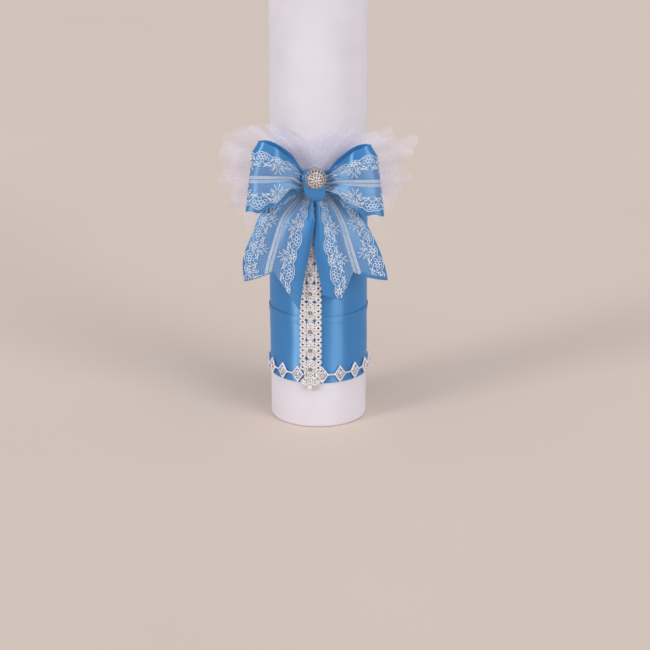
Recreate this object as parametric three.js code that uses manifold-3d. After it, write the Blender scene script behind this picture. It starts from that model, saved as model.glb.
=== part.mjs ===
// A baptism candle: a tall wax pillar wrapped in satin ribbon, with a chain of pierced lozenges
// round the foot, an openwork braid down the front, and a bow of satin and lace on gathered tulle.
// Millimetres, +Z up, origin at the centre of the foot, the decorated side facing -Y.
import * as THREE from 'three';
import Module from 'manifold-3d';

const wasm = await Module();
wasm.setup();

// Gaps between neighbouring pieces
const SEAT_GAP = 0.3;
const CLOTH_GAP = 0.3;

// Candle and wick
const CANDLE_RADIUS = 35;
const CANDLE_HEIGHT = 400;
const RIM_RADIUS = 1.5;
const CANDLE_FACETS = 48;
const WICK_RADIUS = 1.3;
const WICK_EXPOSED = 12;
const WICK_FOOT = 6.3;

// Satin wrapped round the wax
const SATIN_WIDTH = 50.8;
const CLOTH_THICKNESS = 0.4;
const WRAP_GAP = 0.2;
const WRAP_BOTTOM = 34.7;
const WRAP_LAP = 3;
const WRAP_PITCH = SATIN_WIDTH - WRAP_LAP;
const WRAP_STEP = 1.6;
const WRAP_SLIT = 1;

// Braid down the front
const BRAID_ANGLE = THREE.MathUtils.degToRad(-9);
const BRAID_WIDTH = 16.1;
const BRAID_THICKNESS = 1.2;
const BRAID_PITCH = 14.4;
const BRAID_FIRST_STONE = 45.2;
const BRAID_MOTIF_FOOT = 4.2;
const BRAID_TIP = 29.1;
const BRAID_MIDDLE = 3.6;
const BRAID_SCALLOP = 1.15;
const SCALLOPS_PER_MOTIF = 3;

// Chain of lozenges
const CHAIN_HEIGHT = 41.5;
const CHAIN_COUNT = 17;
const CHAIN_OPENING = THREE.MathUtils.degToRad(28.8);
const CHAIN_TURN = THREE.MathUtils.degToRad(-0.9);
const CHAIN_THICKNESS = 1.6;
const LOZENGE_WIDTH = 9.2;
const LOZENGE_HEIGHT = 12.3;
const LOZENGE_RIM = 1.3;
const LOZENGE_POINT = 0.4;
const LINK_WIDTH = 1;
const LINK_BEAD = 2.2;

// Stones, by girdle radius
const CHAIN_STONE_RADIUS = 1.75;
const BRAID_STONE_RADIUS = 2.15;
const STONE_CLEARANCE = 0.2;
const STONE_SIDES = 8;

// Pearl-headed pin
const PEARL_HEIGHT = 32.9;
const PEARL_RADIUS = 2;
const PIN_RADIUS = 0.5;
const PIN_DEPTH = 12;

// Bow
const BOW_X = -2;
const BOW_HEIGHT = 188;
const LOOP_REACH = { left: 46, right: 45.3 };
const LOOP_LIFT = { left: 5.2, right: 2.5 };
const LOOP_LIFT_END = 18;
const LOOP_SLANT = 3;
const LOOP_DEPTH = 9;
const WAIST_HALF_HEIGHT = 7.7;
const WAIST_PLEAT = 1.8;
const PLEAT_START = 6;
const PLEAT_END = 34;
const LOOP_OPENING = 32;
const LOOP_RISE = 0.27;
const FRONT_WAIST_SPACE = 3.3;
const TAIL_EDGE = 1.8;
const TAIL_BILLOW = 6;
const THREAD_RADIUS = 0.4;
const KNOT_WIDTH = 15.4;
const KNOT_ASIDE = 0.8;
const WAIST_REACH = KNOT_WIDTH / 2 + KNOT_ASIDE;
const KNOT_TOP = 9.7;
const KNOT_BOTTOM = 12.4;
const KNOT_CORNERS = { top: 2.7, bottom: 5 };
const THREAD_CORNERS = { top: 1.9, bottom: 1.6 };
const KNOT_NARROWING = 0.25;

// Glue pad and tulle
const PAD_RADIUS = 7;
const PAD_THICKNESS = 1.6;
const TULLE_THICKNESS = 0.3;
const TULLE_HEIGHT = BOW_HEIGHT + 4;
const TULLE_HOLE = 5;
const TULLE_SWEEP = 16;
const TULLE_LEAN = 1.6;
const TULLE_PLEAT = 2.4;
const TULLE_GATHER = 0.3;
const TULLE_REACH = 72;
const TULLE_TOP_REACH = 32;
const TULLE_FOOT_REACH = 59;
const TULLE_WIDENS = { from: 24, to: 80 };
const TULLE_DROOPS = { from: 92, to: 118 };

// Brooch
const BROOCH_X = BOW_X + 0.4;
const BROOCH_HEIGHT = BOW_HEIGHT + 5.9;
const BROOCH_RADIUS = 7.5;
const BROOCH_DEPTH = 4.6;
const BROOCH_BEADS = 16;
const BROOCH_PETALS = 8;

// Where each layer lies, as a distance in front of the candle's axis
const wrapInner = CANDLE_RADIUS + WRAP_GAP;
const wrapOuter = wrapInner + CLOTH_THICKNESS;
const lapInner = wrapOuter + WRAP_GAP;
const lapOuter = lapInner + CLOTH_THICKNESS;
const chainBack = wrapOuter + SEAT_GAP;
const chainFront = chainBack + CHAIN_THICKNESS;
const braidBack = lapOuter + SEAT_GAP;
const braidFront = braidBack + BRAID_THICKNESS;
const braidRoom = TULLE_HEIGHT - PAD_RADIUS - SEAT_GAP - (BRAID_FIRST_STONE - BRAID_MOTIF_FOOT);
const braidMotifs = Math.floor(braidRoom / BRAID_PITCH);
const clothStep = CLOTH_THICKNESS + CLOTH_GAP;
const tulleStep = TULLE_THICKNESS + CLOTH_GAP;
const satinTop = WRAP_BOTTOM + 2 * WRAP_PITCH + SATIN_WIDTH;
const padGround = satinTop > TULLE_HEIGHT - PAD_RADIUS ? wrapOuter : CANDLE_RADIUS;
const padBack = padGround + SEAT_GAP;
const padFront = padBack + PAD_THICKNESS;
const tulleMiddle = [0, 1, 2].map((layer) => padFront + CLOTH_GAP + TULLE_THICKNESS / 2 + layer * tulleStep);
const tailSatin = tulleMiddle[2] + TULLE_THICKNESS / 2 + CLOTH_GAP + CLOTH_THICKNESS / 2;
const knotBack = tailSatin + 2 * clothStep;
const threadBack = knotBack + CLOTH_THICKNESS / 2 + SEAT_GAP + THREAD_RADIUS;
const loopBack = threadBack + THREAD_RADIUS + SEAT_GAP + CLOTH_THICKNESS / 2 + clothStep;
const loopFront = loopBack + FRONT_WAIST_SPACE;
const loopFaceAtWaist = loopFront + WAIST_PLEAT + clothStep + CLOTH_THICKNESS / 2;
const threadFront = loopFaceAtWaist + SEAT_GAP + THREAD_RADIUS;
const knotFront = threadFront + THREAD_RADIUS + SEAT_GAP + CLOTH_THICKNESS / 2;
const broochBack = knotFront + CLOTH_THICKNESS / 2 + SEAT_GAP;

const candle = new THREE.Group();

const finishes = {
  wax: new THREE.MeshStandardMaterial({ color: 0xe6e2ea, roughness: 0.45 }),
  cotton: new THREE.MeshStandardMaterial({ color: 0xf0ece0, roughness: 0.9 }),
  satin: new THREE.MeshStandardMaterial({ color: 0x3a82c4, roughness: 0.35 }),
  lace: new THREE.MeshStandardMaterial({ color: 0xe9ebf0, roughness: 0.85 }),
  tulle: new THREE.MeshStandardMaterial({ color: 0xd9d6e6, roughness: 0.8 }),
  silver: new THREE.MeshStandardMaterial({ color: 0xc9ccd2, roughness: 0.3, metalness: 1 }),
  crystal: new THREE.MeshStandardMaterial({ color: 0xeaf2fa, roughness: 0.05 }),
  pearl: new THREE.MeshStandardMaterial({ color: 0xf2ece6, roughness: 0.25 }),
  glue: new THREE.MeshStandardMaterial({ color: 0xe4e0d0, roughness: 0.5 }),
};

function addPiece(name, geometry, finish) {
  const piece = new THREE.Mesh(geometry, finishes[finish]);
  piece.name = name;
  candle.add(piece);
  return piece;
}

// Shared helpers

function smooth(low, high, value) {
  return THREE.MathUtils.smoothstep(value, low, high);
}

// A point at an angle round the candle, measured from the front towards +X.
function around(radius, angle, z) {
  return new THREE.Vector3(radius * Math.sin(angle), -radius * Math.cos(angle), z);
}

function enclosedVolume(points, faces) {
  return faces.reduce((sum, [a, b, c]) => sum + points[a].dot(points[b].clone().cross(points[c])), 0) / 6;
}

function smoothCurve(points) {
  return new THREE.CatmullRomCurve3(points.map((p) => new THREE.Vector3(...p)), false, 'catmullrom', 0.5);
}

function closedGeometry(points, faces) {
  const outward = enclosedVolume(points, faces) > 0;
  const ordered = outward ? faces : faces.map(([a, b, c]) => [a, c, b]);
  const geometry = new THREE.BufferGeometry();
  geometry.setAttribute('position', new THREE.Float32BufferAttribute(points.flatMap((p) => p.toArray()), 3));
  geometry.setIndex(ordered.flat());
  geometry.computeVertexNormals();
  return geometry;
}

// A closed sheet over a grid. place(i, j, side) gives the point of column i and row j on the back
// (side 0) or the front (side 1). A looped sheet joins its last column to its first.
function sheet(columns, rows, place, looped = false) {
  const count = looped ? columns : columns + 1;
  const points = [];
  const faces = [];
  for (let i = 0; i < count; i++) {
    for (let j = 0; j <= rows; j++) {
      points.push(place(i, j, 0), place(i, j, 1));
    }
  }
  const at = (i, j, side) => ((i % count) * (rows + 1) + j) * 2 + side;
  const quad = (a, b, c, d) => faces.push([a, b, c], [a, c, d]);
  for (let i = 0; i < columns; i++) {
    for (let j = 0; j < rows; j++) {
      quad(at(i, j, 1), at(i + 1, j, 1), at(i + 1, j + 1, 1), at(i, j + 1, 1));
      quad(at(i, j, 0), at(i, j + 1, 0), at(i + 1, j + 1, 0), at(i + 1, j, 0));
    }
    quad(at(i, 0, 0), at(i + 1, 0, 0), at(i + 1, 0, 1), at(i, 0, 1));
    quad(at(i, rows, 1), at(i + 1, rows, 1), at(i + 1, rows, 0), at(i, rows, 0));
  }
  for (let j = 0; j < rows && !looped; j++) {
    quad(at(0, j, 0), at(0, j, 1), at(0, j + 1, 1), at(0, j + 1, 0));
    quad(at(columns, j, 1), at(columns, j, 0), at(columns, j + 1, 0), at(columns, j + 1, 1));
  }
  return closedGeometry(points, faces);
}

// A pierced plate made of flat cells that share their joining edges. Each cell has an outline and
// holes in the plate's own plane, and place(x, z, side) bends that plane to its place.
function piercedPlate(cells, place) {
  const points = [];
  const faces = [];
  const numbers = new Map();
  const borders = new Map();
  const keyOf = (p) => `${p.x.toFixed(3)},${p.y.toFixed(3)}`;
  const corner = (p, side) => {
    const key = `${keyOf(p)},${side}`;
    if (!numbers.has(key)) {
      numbers.set(key, points.length);
      points.push(place(p.x, p.y, side));
    }
    return numbers.get(key);
  };
  for (const cell of cells) {
    const outline = turned(cell.outline, false);
    const holes = cell.holes.map((hole) => turned(hole, true));
    const corners = [outline, ...holes].flat();
    for (const [a, b, c] of THREE.ShapeUtils.triangulateShape(outline, holes)) {
      faces.push([corner(corners[a], 1), corner(corners[b], 1), corner(corners[c], 1)]);
      faces.push([corner(corners[a], 0), corner(corners[c], 0), corner(corners[b], 0)]);
    }
    for (const ring of [outline, ...holes]) {
      ring.forEach((p, k) => {
        const q = ring[(k + 1) % ring.length];
        borders.set(`${keyOf(p)}|${keyOf(q)}`, [p, q]);
      });
    }
  }
  for (const [p, q] of borders.values()) {
    if (!borders.has(`${keyOf(q)}|${keyOf(p)}`)) {
      faces.push([corner(p, 0), corner(q, 0), corner(q, 1)]);
      faces.push([corner(p, 0), corner(q, 1), corner(p, 1)]);
    }
  }
  return closedGeometry(points, faces);
}

function turned(ring, clockwise) {
  return THREE.ShapeUtils.isClockWise(ring) === clockwise ? [...ring] : [...ring].reverse();
}

function ringOf(x, z, radius, sides) {
  return Array.from({ length: sides }, (_, k) => {
    const angle = (k / sides) * 2 * Math.PI;
    return new THREE.Vector2(x + radius * Math.sin(angle), z + radius * Math.cos(angle));
  });
}

// Points given as [x, z] pairs, moved by an offset and mirrored where side is -1.
function outlineOf(pairs, offsetX = 0, offsetZ = 0, side = 1) {
  return pairs.map(([x, z]) => new THREE.Vector2(offsetX + side * x, offsetZ + z));
}

// A turned piece about +Z, from a profile of [radius, height] pairs.
function turnedPiece(profile, sides) {
  const geometry = new THREE.LatheGeometry(profile.map(([r, z]) => new THREE.Vector2(r, z)), sides);
  geometry.rotateX(Math.PI / 2);
  return geometry;
}

function solidOf(geometry) {
  const position = geometry.getAttribute('position');
  const order = geometry.index ? [...geometry.index.array] : [...Array(position.count).keys()];
  const numbers = new Map();
  const vertices = [];
  const welded = order.map((index) => {
    const p = [position.getX(index), position.getY(index), position.getZ(index)];
    const key = p.map((value) => Math.round(value * 1e4)).join();
    if (!numbers.has(key)) {
      numbers.set(key, numbers.size);
      vertices.push(...p);
    }
    return numbers.get(key);
  });
  const triangles = [];
  for (let k = 0; k < welded.length; k += 3) {
    const [a, b, c] = welded.slice(k, k + 3);
    if (a !== b && b !== c && c !== a) triangles.push(a, b, c);
  }
  const vertProperties = new Float32Array(vertices);
  const triVerts = new Uint32Array(triangles);
  return new wasm.Manifold(new wasm.Mesh({ numProp: 3, vertProperties, triVerts }));
}

function geometryOf(solid) {
  const mesh = solid.getMesh();
  const geometry = new THREE.BufferGeometry();
  geometry.setAttribute('position', new THREE.BufferAttribute(new Float32Array(mesh.vertProperties), 3));
  geometry.setIndex([...mesh.triVerts]);
  geometry.computeVertexNormals();
  return geometry;
}

// Wax pillar, with rounded rims, a blind bore for the wick and the hole of the pearl-headed pin

function quarterRound(centreRadius, centreHeight, radius, startAngle, steps) {
  return Array.from({ length: steps + 1 }, (_, k) => {
    const angle = startAngle + (k / steps) * (Math.PI / 2);
    return [centreRadius + radius * Math.cos(angle), centreHeight + radius * Math.sin(angle)];
  });
}

function candleBody() {
  const boreRadius = WICK_RADIUS + SEAT_GAP;
  const boreFoot = WICK_FOOT - SEAT_GAP;
  const rim = CANDLE_RADIUS - RIM_RADIUS;
  const profile = [
    [0, 0],
    ...quarterRound(rim, RIM_RADIUS, RIM_RADIUS, -Math.PI / 2, 2),
    ...quarterRound(rim, CANDLE_HEIGHT - RIM_RADIUS, RIM_RADIUS, 0, 2),
    [boreRadius, CANDLE_HEIGHT],
    [boreRadius, boreFoot],
    [0, boreFoot],
  ];
  const holeLength = 2 * (PIN_DEPTH + SEAT_GAP);
  const holeRadius = PIN_RADIUS + SEAT_GAP;
  const pinHole = new THREE.CylinderGeometry(holeRadius, holeRadius, holeLength, 8);
  const middle = around(CANDLE_RADIUS, BRAID_ANGLE, PEARL_HEIGHT);
  pinHole.rotateZ(BRAID_ANGLE);
  pinHole.translate(middle.x, middle.y, middle.z);
  return geometryOf(solidOf(turnedPiece(profile, CANDLE_FACETS)).subtract(solidOf(pinHole)));
}

function wick() {
  const top = CANDLE_HEIGHT + WICK_EXPOSED;
  const profile = [
    [0, WICK_FOOT],
    [WICK_RADIUS, WICK_FOOT],
    [WICK_RADIUS, top - 1],
    [WICK_RADIUS * 0.8, top],
    [0, top],
  ];
  return turnedPiece(profile, 8);
}

// Satin wraps: each is a strip bent once round the wax, its ends nearly meeting under the braid. The
// top edge of a lower strip steps out over the foot of the one above.

function satinBand(bottom, covers) {
  const slit = WRAP_SLIT / 2 / CANDLE_RADIUS;
  const facet = (2 * Math.PI) / CANDLE_FACETS;
  const firstFacet = Math.ceil((BRAID_ANGLE + slit) / facet);
  const angles = Array.from({ length: CANDLE_FACETS }, (_, k) => (firstFacet + k) * facet);
  angles.unshift(BRAID_ANGLE + slit);
  angles.push(BRAID_ANGLE + 2 * Math.PI - slit);
  const top = bottom + SATIN_WIDTH;
  const stepTop = top - WRAP_LAP - 1;
  const rows = [[bottom, 0], [top, 0]];
  if (covers) {
    const lift = lapInner - wrapInner;
    rows.splice(1, 1, [stepTop - WRAP_STEP, 0], [stepTop, lift], [top, lift]);
  }
  return sheet(angles.length - 1, rows.length - 1, (i, j, side) => {
    const [z, lift] = rows[j];
    return around(wrapInner + lift + side * CLOTH_THICKNESS, angles[i], z);
  });
}

// Chain of pierced lozenges: flat plates, each tangent to the candle, joined by beaded links that
// follow it round. Its two ends meet under the braid.

const chainStep = (2 * Math.PI - CHAIN_OPENING) / (CHAIN_COUNT - 1);
const chainStart = BRAID_ANGLE + CHAIN_TURN + CHAIN_OPENING / 2;
const chainPitch = chainStep * chainBack;

// One hole, given for the upper right corner, repeated in all four corners about a middle.
function fourCorners(pairs, x, z) {
  const lower = pairs.map(([a, b]) => [a, -b]);
  return [pairs, lower].flatMap((hole) => [1, -1].map((side) => outlineOf(hole, x, z, side)));
}

function lozengeCell(index) {
  const middle = index * chainPitch;
  const half = LOZENGE_WIDTH / 2;
  const tall = LOZENGE_HEIGHT / 2;
  const link = LINK_WIDTH / 2;
  const bead = LINK_BEAD / 2;
  const neck = half * (1 - link / tall);
  const end = chainPitch / 2;
  const beadStart = end - 0.9;
  const lowerLink = [[neck, -link], [beadStart, -link], [end, -bead]];
  const linked = [...lowerLink, ...lowerLink.map(([x, z]) => [x, -z]).reverse()];
  const bare = [[half, 0]];
  const right = index < CHAIN_COUNT - 1 ? linked : bare;
  const left = index > 0 ? linked : bare;
  const outline = [
    ...outlineOf([[LOZENGE_POINT, -tall]], middle),
    ...outlineOf(right, middle),
    ...outlineOf([[LOZENGE_POINT, tall], [-LOZENGE_POINT, tall]], middle),
    ...outlineOf(left, middle, 0, -1).reverse(),
    ...outlineOf([[-LOZENGE_POINT, -tall]], middle),
  ];
  const seat = ringOf(middle, 0, CHAIN_STONE_RADIUS - STONE_CLEARANCE, STONE_SIDES);
  const seatWall = CHAIN_STONE_RADIUS + 0.7;
  const innerTall = tall - LOZENGE_RIM * 1.5;
  const innerHalf = half - LOZENGE_RIM;
  const pane = [[0.35, innerTall * 0.92], [innerHalf * 0.52, seatWall * 0.93], [0.35, seatWall]];
  return { outline, holes: [seat, ...fourCorners(pane, middle, 0)] };
}

function lozengeChain() {
  const cells = Array.from({ length: CHAIN_COUNT }, (_, k) => lozengeCell(k));
  return piercedPlate(cells, (x, z, side) => {
    const depth = chainBack + side * CHAIN_THICKNESS;
    const index = THREE.MathUtils.clamp(Math.round(x / chainPitch), 0, CHAIN_COUNT - 1);
    const aside = x - index * chainPitch;
    const middleAngle = chainStart + index * chainStep;
    if (Math.abs(aside) > LOZENGE_WIDTH / 2 + 0.01) {
      return around(depth + 0.2, chainStart + x / chainBack, CHAIN_HEIGHT + z);
    }
    return around(depth, middleAngle, CHAIN_HEIGHT + z).add(around(aside, middleAngle + Math.PI / 2, 0));
  });
}

// A faceted stone that stands on -Y: a table, a girdle and a point that drops into its seat

function stone(radius, proud) {
  const girdle = 0.35;
  const culet = -girdle * 1.7;
  const profile = [[0, culet], [radius, girdle], [radius * 0.58, proud], [0, proud]];
  const geometry = turnedPiece(profile, STONE_SIDES);
  geometry.rotateX(Math.PI / 2);
  return geometry;
}

function setStone(name, radius, proud, faceRadius, angle, z) {
  const piece = addPiece(name, stone(radius, proud), 'crystal');
  piece.position.copy(around(faceRadius, angle, z));
  piece.rotation.z = angle;
}

// Openwork braid: as many motifs as fit below the bow's glue, each a stone seat with eyelets round it
// and a pair of long eyelets above, between scalloped borders, ending below in two lobes and a point
// that a pin holds

const motifHalf = BRAID_WIDTH / 2;

function scallopEdge(foot) {
  const step = BRAID_PITCH / SCALLOPS_PER_MOTIF;
  const valley = motifHalf - BRAID_SCALLOP;
  const points = [];
  for (let k = 0; k < SCALLOPS_PER_MOTIF; k++) {
    points.push([valley, foot + k * step]);
    points.push([motifHalf, foot + (k + 0.28) * step], [motifHalf, foot + (k + 0.72) * step]);
  }
  return [...points, [valley, foot + BRAID_PITCH]];
}

function motifCells(index) {
  const stoneHeight = BRAID_FIRST_STONE + index * BRAID_PITCH;
  const foot = stoneHeight - BRAID_MOTIF_FOOT;
  const top = foot + BRAID_PITCH;
  const inner = BRAID_MIDDLE;
  const seat = ringOf(0, stoneHeight, BRAID_STONE_RADIUS - STONE_CLEARANCE, STONE_SIDES);
  const eyelet = [[1.75, 1.75], [2.75, 1.9], [2.85, 2.85], [1.9, 2.75]];
  const slot = [[1.3, 4.4], [2.1, 6.6], [1.3, 8.9], [0.6, 6.6]];
  const joint = foot + 2.6;
  const isLowest = index === 0;
  const [nearFoot, farFoot] = isLowest ? [1.6, 2.6] : [-1.6, 1];
  const near = inner + 0.9;
  const far = inner + 2.2;
  const border = [[near, nearFoot], [far, farFoot], [far, 4.6], [near, 7.2]];
  const slots = [1, -1].map((side) => outlineOf(slot, 0, stoneHeight, side));
  const eyelets = fourCorners(eyelet, 0, stoneHeight);
  const rightSide = [[inner, foot], [inner, joint], [inner, top]];
  const leftSide = [[-inner, top], [-inner, joint], [-inner, foot]];
  const middle = { outline: outlineOf([...rightSide, ...leftSide]), holes: [seat, ...eyelets, ...slots] };
  const shoulder = [[inner + 1.7, joint + 1.2], ...scallopEdge(foot).slice(SCALLOPS_PER_MOTIF + 2)];
  const edge = isLowest ? shoulder : [[inner, foot], ...scallopEdge(foot)];
  const sides = [1, -1].map((side) => ({
    outline: outlineOf([[inner, top], [inner, joint], ...edge], 0, 0, side),
    holes: [outlineOf(border, 0, stoneHeight, side)],
  }));
  return [middle, ...sides];
}

function tipCell() {
  const foot = BRAID_FIRST_STONE - BRAID_MOTIF_FOOT;
  const inner = BRAID_MIDDLE;
  const lobe = motifHalf - 0.65;
  const neck = [[inner, foot], [inner, foot - 2.4]];
  const lobeOutline = [[lobe - 0.8, foot - 3.8], [lobe, foot - 4.8], [lobe - 0.8, foot - 6.4]];
  const right = [...neck, ...lobeOutline, [inner + 1, foot - 7.4], [2.4, BRAID_TIP + 1.6]];
  const left = right.map(([x, z]) => [-x, z]).reverse();
  const eye = ringOf(0, PEARL_HEIGHT, PIN_RADIUS + SEAT_GAP, 8);
  return { outline: outlineOf([...right, [0, BRAID_TIP], ...left]), holes: [eye] };
}

function frontBraid() {
  const cells = [tipCell()];
  for (let k = 0; k < braidMotifs; k++) {
    cells.push(...motifCells(k));
  }
  return piercedPlate(cells, (x, z, side) => {
    return around(braidBack + side * BRAID_THICKNESS, BRAID_ANGLE + x / braidBack, z);
  });
}

// Pearl-headed pin, along the hole in the wax

function pearlPin() {
  const pearlMiddle = braidFront + SEAT_GAP + PEARL_RADIUS;
  const neck = Math.asin(PIN_RADIUS / PEARL_RADIUS);
  const profile = [[0, CANDLE_RADIUS - PIN_DEPTH], [PIN_RADIUS, CANDLE_RADIUS - PIN_DEPTH + 2]];
  for (let k = 0; k <= 5; k++) {
    const angle = neck + (k / 5) * (Math.PI - neck);
    profile.push([PEARL_RADIUS * Math.sin(angle), pearlMiddle - PEARL_RADIUS * Math.cos(angle)]);
  }
  profile[profile.length - 1][0] = 0;
  const geometry = turnedPiece(profile, 10);
  geometry.rotateX(Math.PI / 2);
  geometry.rotateZ(BRAID_ANGLE);
  geometry.translate(0, 0, PEARL_HEIGHT);
  return geometry;
}

// Loops of the bow. One strip of satin runs from the back of the waist round the left loop, across
// the front of the waist and round the right loop to the back. Lace lies on its outer face.

const loopRoute = [
  [0, loopFront],
  [9, loopFront + 0.2],
  [17, loopFront + LOOP_DEPTH * 0.46],
  [28, loopFront + LOOP_DEPTH],
  [39, loopFront + LOOP_DEPTH * 0.87],
  [45.5, loopFront + LOOP_DEPTH * 0.42],
  [44, loopBack + 3.3],
  [34, loopBack + 2.2],
  [20, loopBack + 1.4],
  [9, loopBack + 0.2],
  [0.4, loopBack],
];
const loopCurve = smoothCurve(loopRoute.map(([distance, forward]) => [distance, forward, 0]));
const loopOutermost = LOOP_REACH.left;
const loopColumns = 16;
const pleatRows = [-1, -5 / 6, -2 / 3, -1 / 3, 0, 1 / 3, 2 / 3, 5 / 6, 1];
const loopLaceRows = pleatRows.slice(1, -1);

// Height of a fold across the ribbon: a zigzag of three pleats that dies out away from the waist.
function pleatAt(row, distance) {
  const phase = Math.abs(row * 3) % 2;
  const zigzag = 1 - 2 * Math.min(phase, 2 - phase);
  return WAIST_PLEAT * zigzag * (1 - smooth(PLEAT_START, PLEAT_END, distance));
}

function halfHeightAt(distance) {
  const opening = THREE.MathUtils.clamp((distance - WAIST_REACH) / LOOP_OPENING, 0, 1);
  return THREE.MathUtils.lerp(WAIST_HALF_HEIGHT, SATIN_WIDTH / 2, Math.sin((opening * Math.PI) / 2));
}

function loopPoint(column, row, offset) {
  const side = column < loopColumns ? 'left' : 'right';
  const share = Math.abs(column - loopColumns) / loopColumns;
  const route = loopCurve.getPoint(share);
  const along = loopCurve.getTangent(share);
  const outward = share === 0 ? new THREE.Vector2(0, 1) : new THREE.Vector2(-along.y, along.x);
  const onFront = share < 0.5;
  const fold = onFront ? pleatAt(row, route.x) : 0;
  const distance = route.x + outward.x * (offset + fold);
  const forward = route.y + outward.y * (offset + fold);
  const reach = (LOOP_REACH[side] / loopOutermost) * distance;
  const slant = LOOP_SLANT * row * (route.x / loopOutermost) ** 2;
  const lift = LOOP_LIFT[side] * smooth(WAIST_REACH, LOOP_LIFT_END, route.x);
  const rise = LOOP_RISE * Math.max(0, route.y - loopFront - LOOP_DEPTH * 0.4);
  const z = BOW_HEIGHT + lift + rise + row * halfHeightAt(route.x);
  const mirror = side === 'left' ? -1 : 1;
  return new THREE.Vector3(BOW_X + mirror * (reach - slant), -forward, z);
}

function loopRibbon(rows, middle) {
  return sheet(2 * loopColumns, rows.length - 1, (i, j, side) => {
    return loopPoint(i, rows[j], middle + (side - 0.5) * CLOTH_THICKNESS);
  });
}

// Tails of the bow: one strip folded at its middle behind the knot, with swallow-tailed ends. Each
// station gives the middle of the ribbon, in ribbon widths aside from the bow and below it, the way
// it lies across, how much of its width it spreads, and its outer edge, its inner edge and its
// middle as shares of how far they may stand forward. The cuts pair a row across the ribbon, from
// -1 inside to 1 outside, with how many stations short of its end the ribbon is cut there.

const tailStations = [
  { aside: -0.614, drop: 1.678, turn: 151.4, spread: 0.89, outer: 0.22, inner: 1, bulge: 0.92 },
  { aside: -0.592, drop: 1.319, turn: 157.1, spread: 0.912, outer: 0.22, inner: 1, bulge: 1 },
  { aside: -0.486, drop: 0.894, turn: 167.8, spread: 0.84, outer: 0.33, inner: 0.78, bulge: 0.83 },
  { aside: -0.378, drop: 0.524, turn: 168.1, spread: 0.741, outer: 0.44, inner: 0.5, bulge: 0.27 },
  { aside: -0.157, drop: 0.237, turn: 135.2, spread: 0.365, outer: 0.11, inner: 0.11, bulge: 0.03 },
  { aside: -0.02, drop: 0.04, turn: 90, spread: 0.4, outer: 0, inner: 0, bulge: 0 },
  { aside: 0.148, drop: 0.237, turn: 38.5, spread: 0.38, outer: 0.11, inner: 0.11, bulge: 0.03 },
  { aside: 0.315, drop: 0.559, turn: 13.6, spread: 0.655, outer: 0.44, inner: 0.5, bulge: 0.27 },
  { aside: 0.403, drop: 0.933, turn: 13.2, spread: 0.865, outer: 0.33, inner: 0.78, bulge: 0.83 },
  { aside: 0.512, drop: 1.319, turn: 15.4, spread: 0.93, outer: 0.22, inner: 1, bulge: 1 },
  { aside: 0.568, drop: 1.63, turn: 20.7, spread: 0.96, outer: 0.22, inner: 1, bulge: 0.92 },
];
const tailCuts = {
  left: [[-1, 0], [0, 1.1], [1, 0]],
  right: [[-1, 0.41], [-0.45, 0], [0, 0.89], [1, 0.19]],
};
const tailColumns = 30;
const tailRows = [-1, -2 / 3, -0.45, 0, 0.35, 0.7, 1];
const tailLaceRows = tailRows.slice(1);
const tailMiddles = smoothCurve(tailStations.map((s) => [s.aside, s.drop, s.turn]));
const tailSpreads = smoothCurve(tailStations.map((s) => [s.spread, s.bulge, 0]));
const tailEdges = smoothCurve(tailStations.map((s) => [s.outer, s.inner, 0]));

function cutAt(side, row) {
  const cuts = tailCuts[side];
  const next = Math.max(1, cuts.findIndex(([place]) => place >= row));
  const [[fromRow, fromCut], [toRow, toCut]] = [cuts[next - 1], cuts[next]];
  return THREE.MathUtils.mapLinear(row, fromRow, toRow, fromCut, toCut);
}

function tailPoint(column, row, offset) {
  const last = tailStations.length - 1;
  const start = cutAt('left', row);
  const end = last - cutAt('right', row);
  const station = THREE.MathUtils.lerp(start, end, column / tailColumns) / last;
  const middle = tailMiddles.getPoint(station);
  const spread = tailSpreads.getPoint(station);
  const edges = tailEdges.getPoint(station);
  const across = THREE.MathUtils.degToRad(middle.z);
  const reach = (row * spread.x * SATIN_WIDTH) / 2;
  const edge = TAIL_EDGE * THREE.MathUtils.lerp(edges.y, edges.x, (row + 1) / 2);
  const billow = TAIL_BILLOW * spread.y * (1 - row * row);
  return new THREE.Vector3(
    BOW_X + middle.x * SATIN_WIDTH + reach * Math.cos(across),
    -(tailSatin + offset + edge + billow),
    BOW_HEIGHT - middle.y * SATIN_WIDTH + reach * Math.sin(across),
  );
}

function tailRibbon(rows, middle) {
  return sheet(tailColumns, rows.length - 1, (i, j, side) => {
    return tailPoint(i, rows[j], middle + (side - 0.5) * CLOTH_THICKNESS);
  });
}

// Knot and thread: both are rings round the waist of the loops, in the plane of +Y and +Z

function waistRing(back, front, top, bottom, corners, cornerSteps) {
  const points = [];
  const arc = (y, z, radius, from) => {
    for (let k = 0; k <= cornerSteps; k++) {
      const angle = from + (k / cornerSteps) * (Math.PI / 2);
      points.push({ y: y + radius * Math.cos(angle), z: z + radius * Math.sin(angle), angle });
    }
  };
  arc(front - corners.bottom, bottom + corners.bottom, corners.bottom, -Math.PI / 2);
  arc(front - corners.top, top - corners.top, corners.top, 0);
  arc(back + corners.top, top - corners.top, corners.top, Math.PI / 2);
  arc(back + corners.top, bottom + corners.top, corners.top, Math.PI);
  return points;
}

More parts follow.
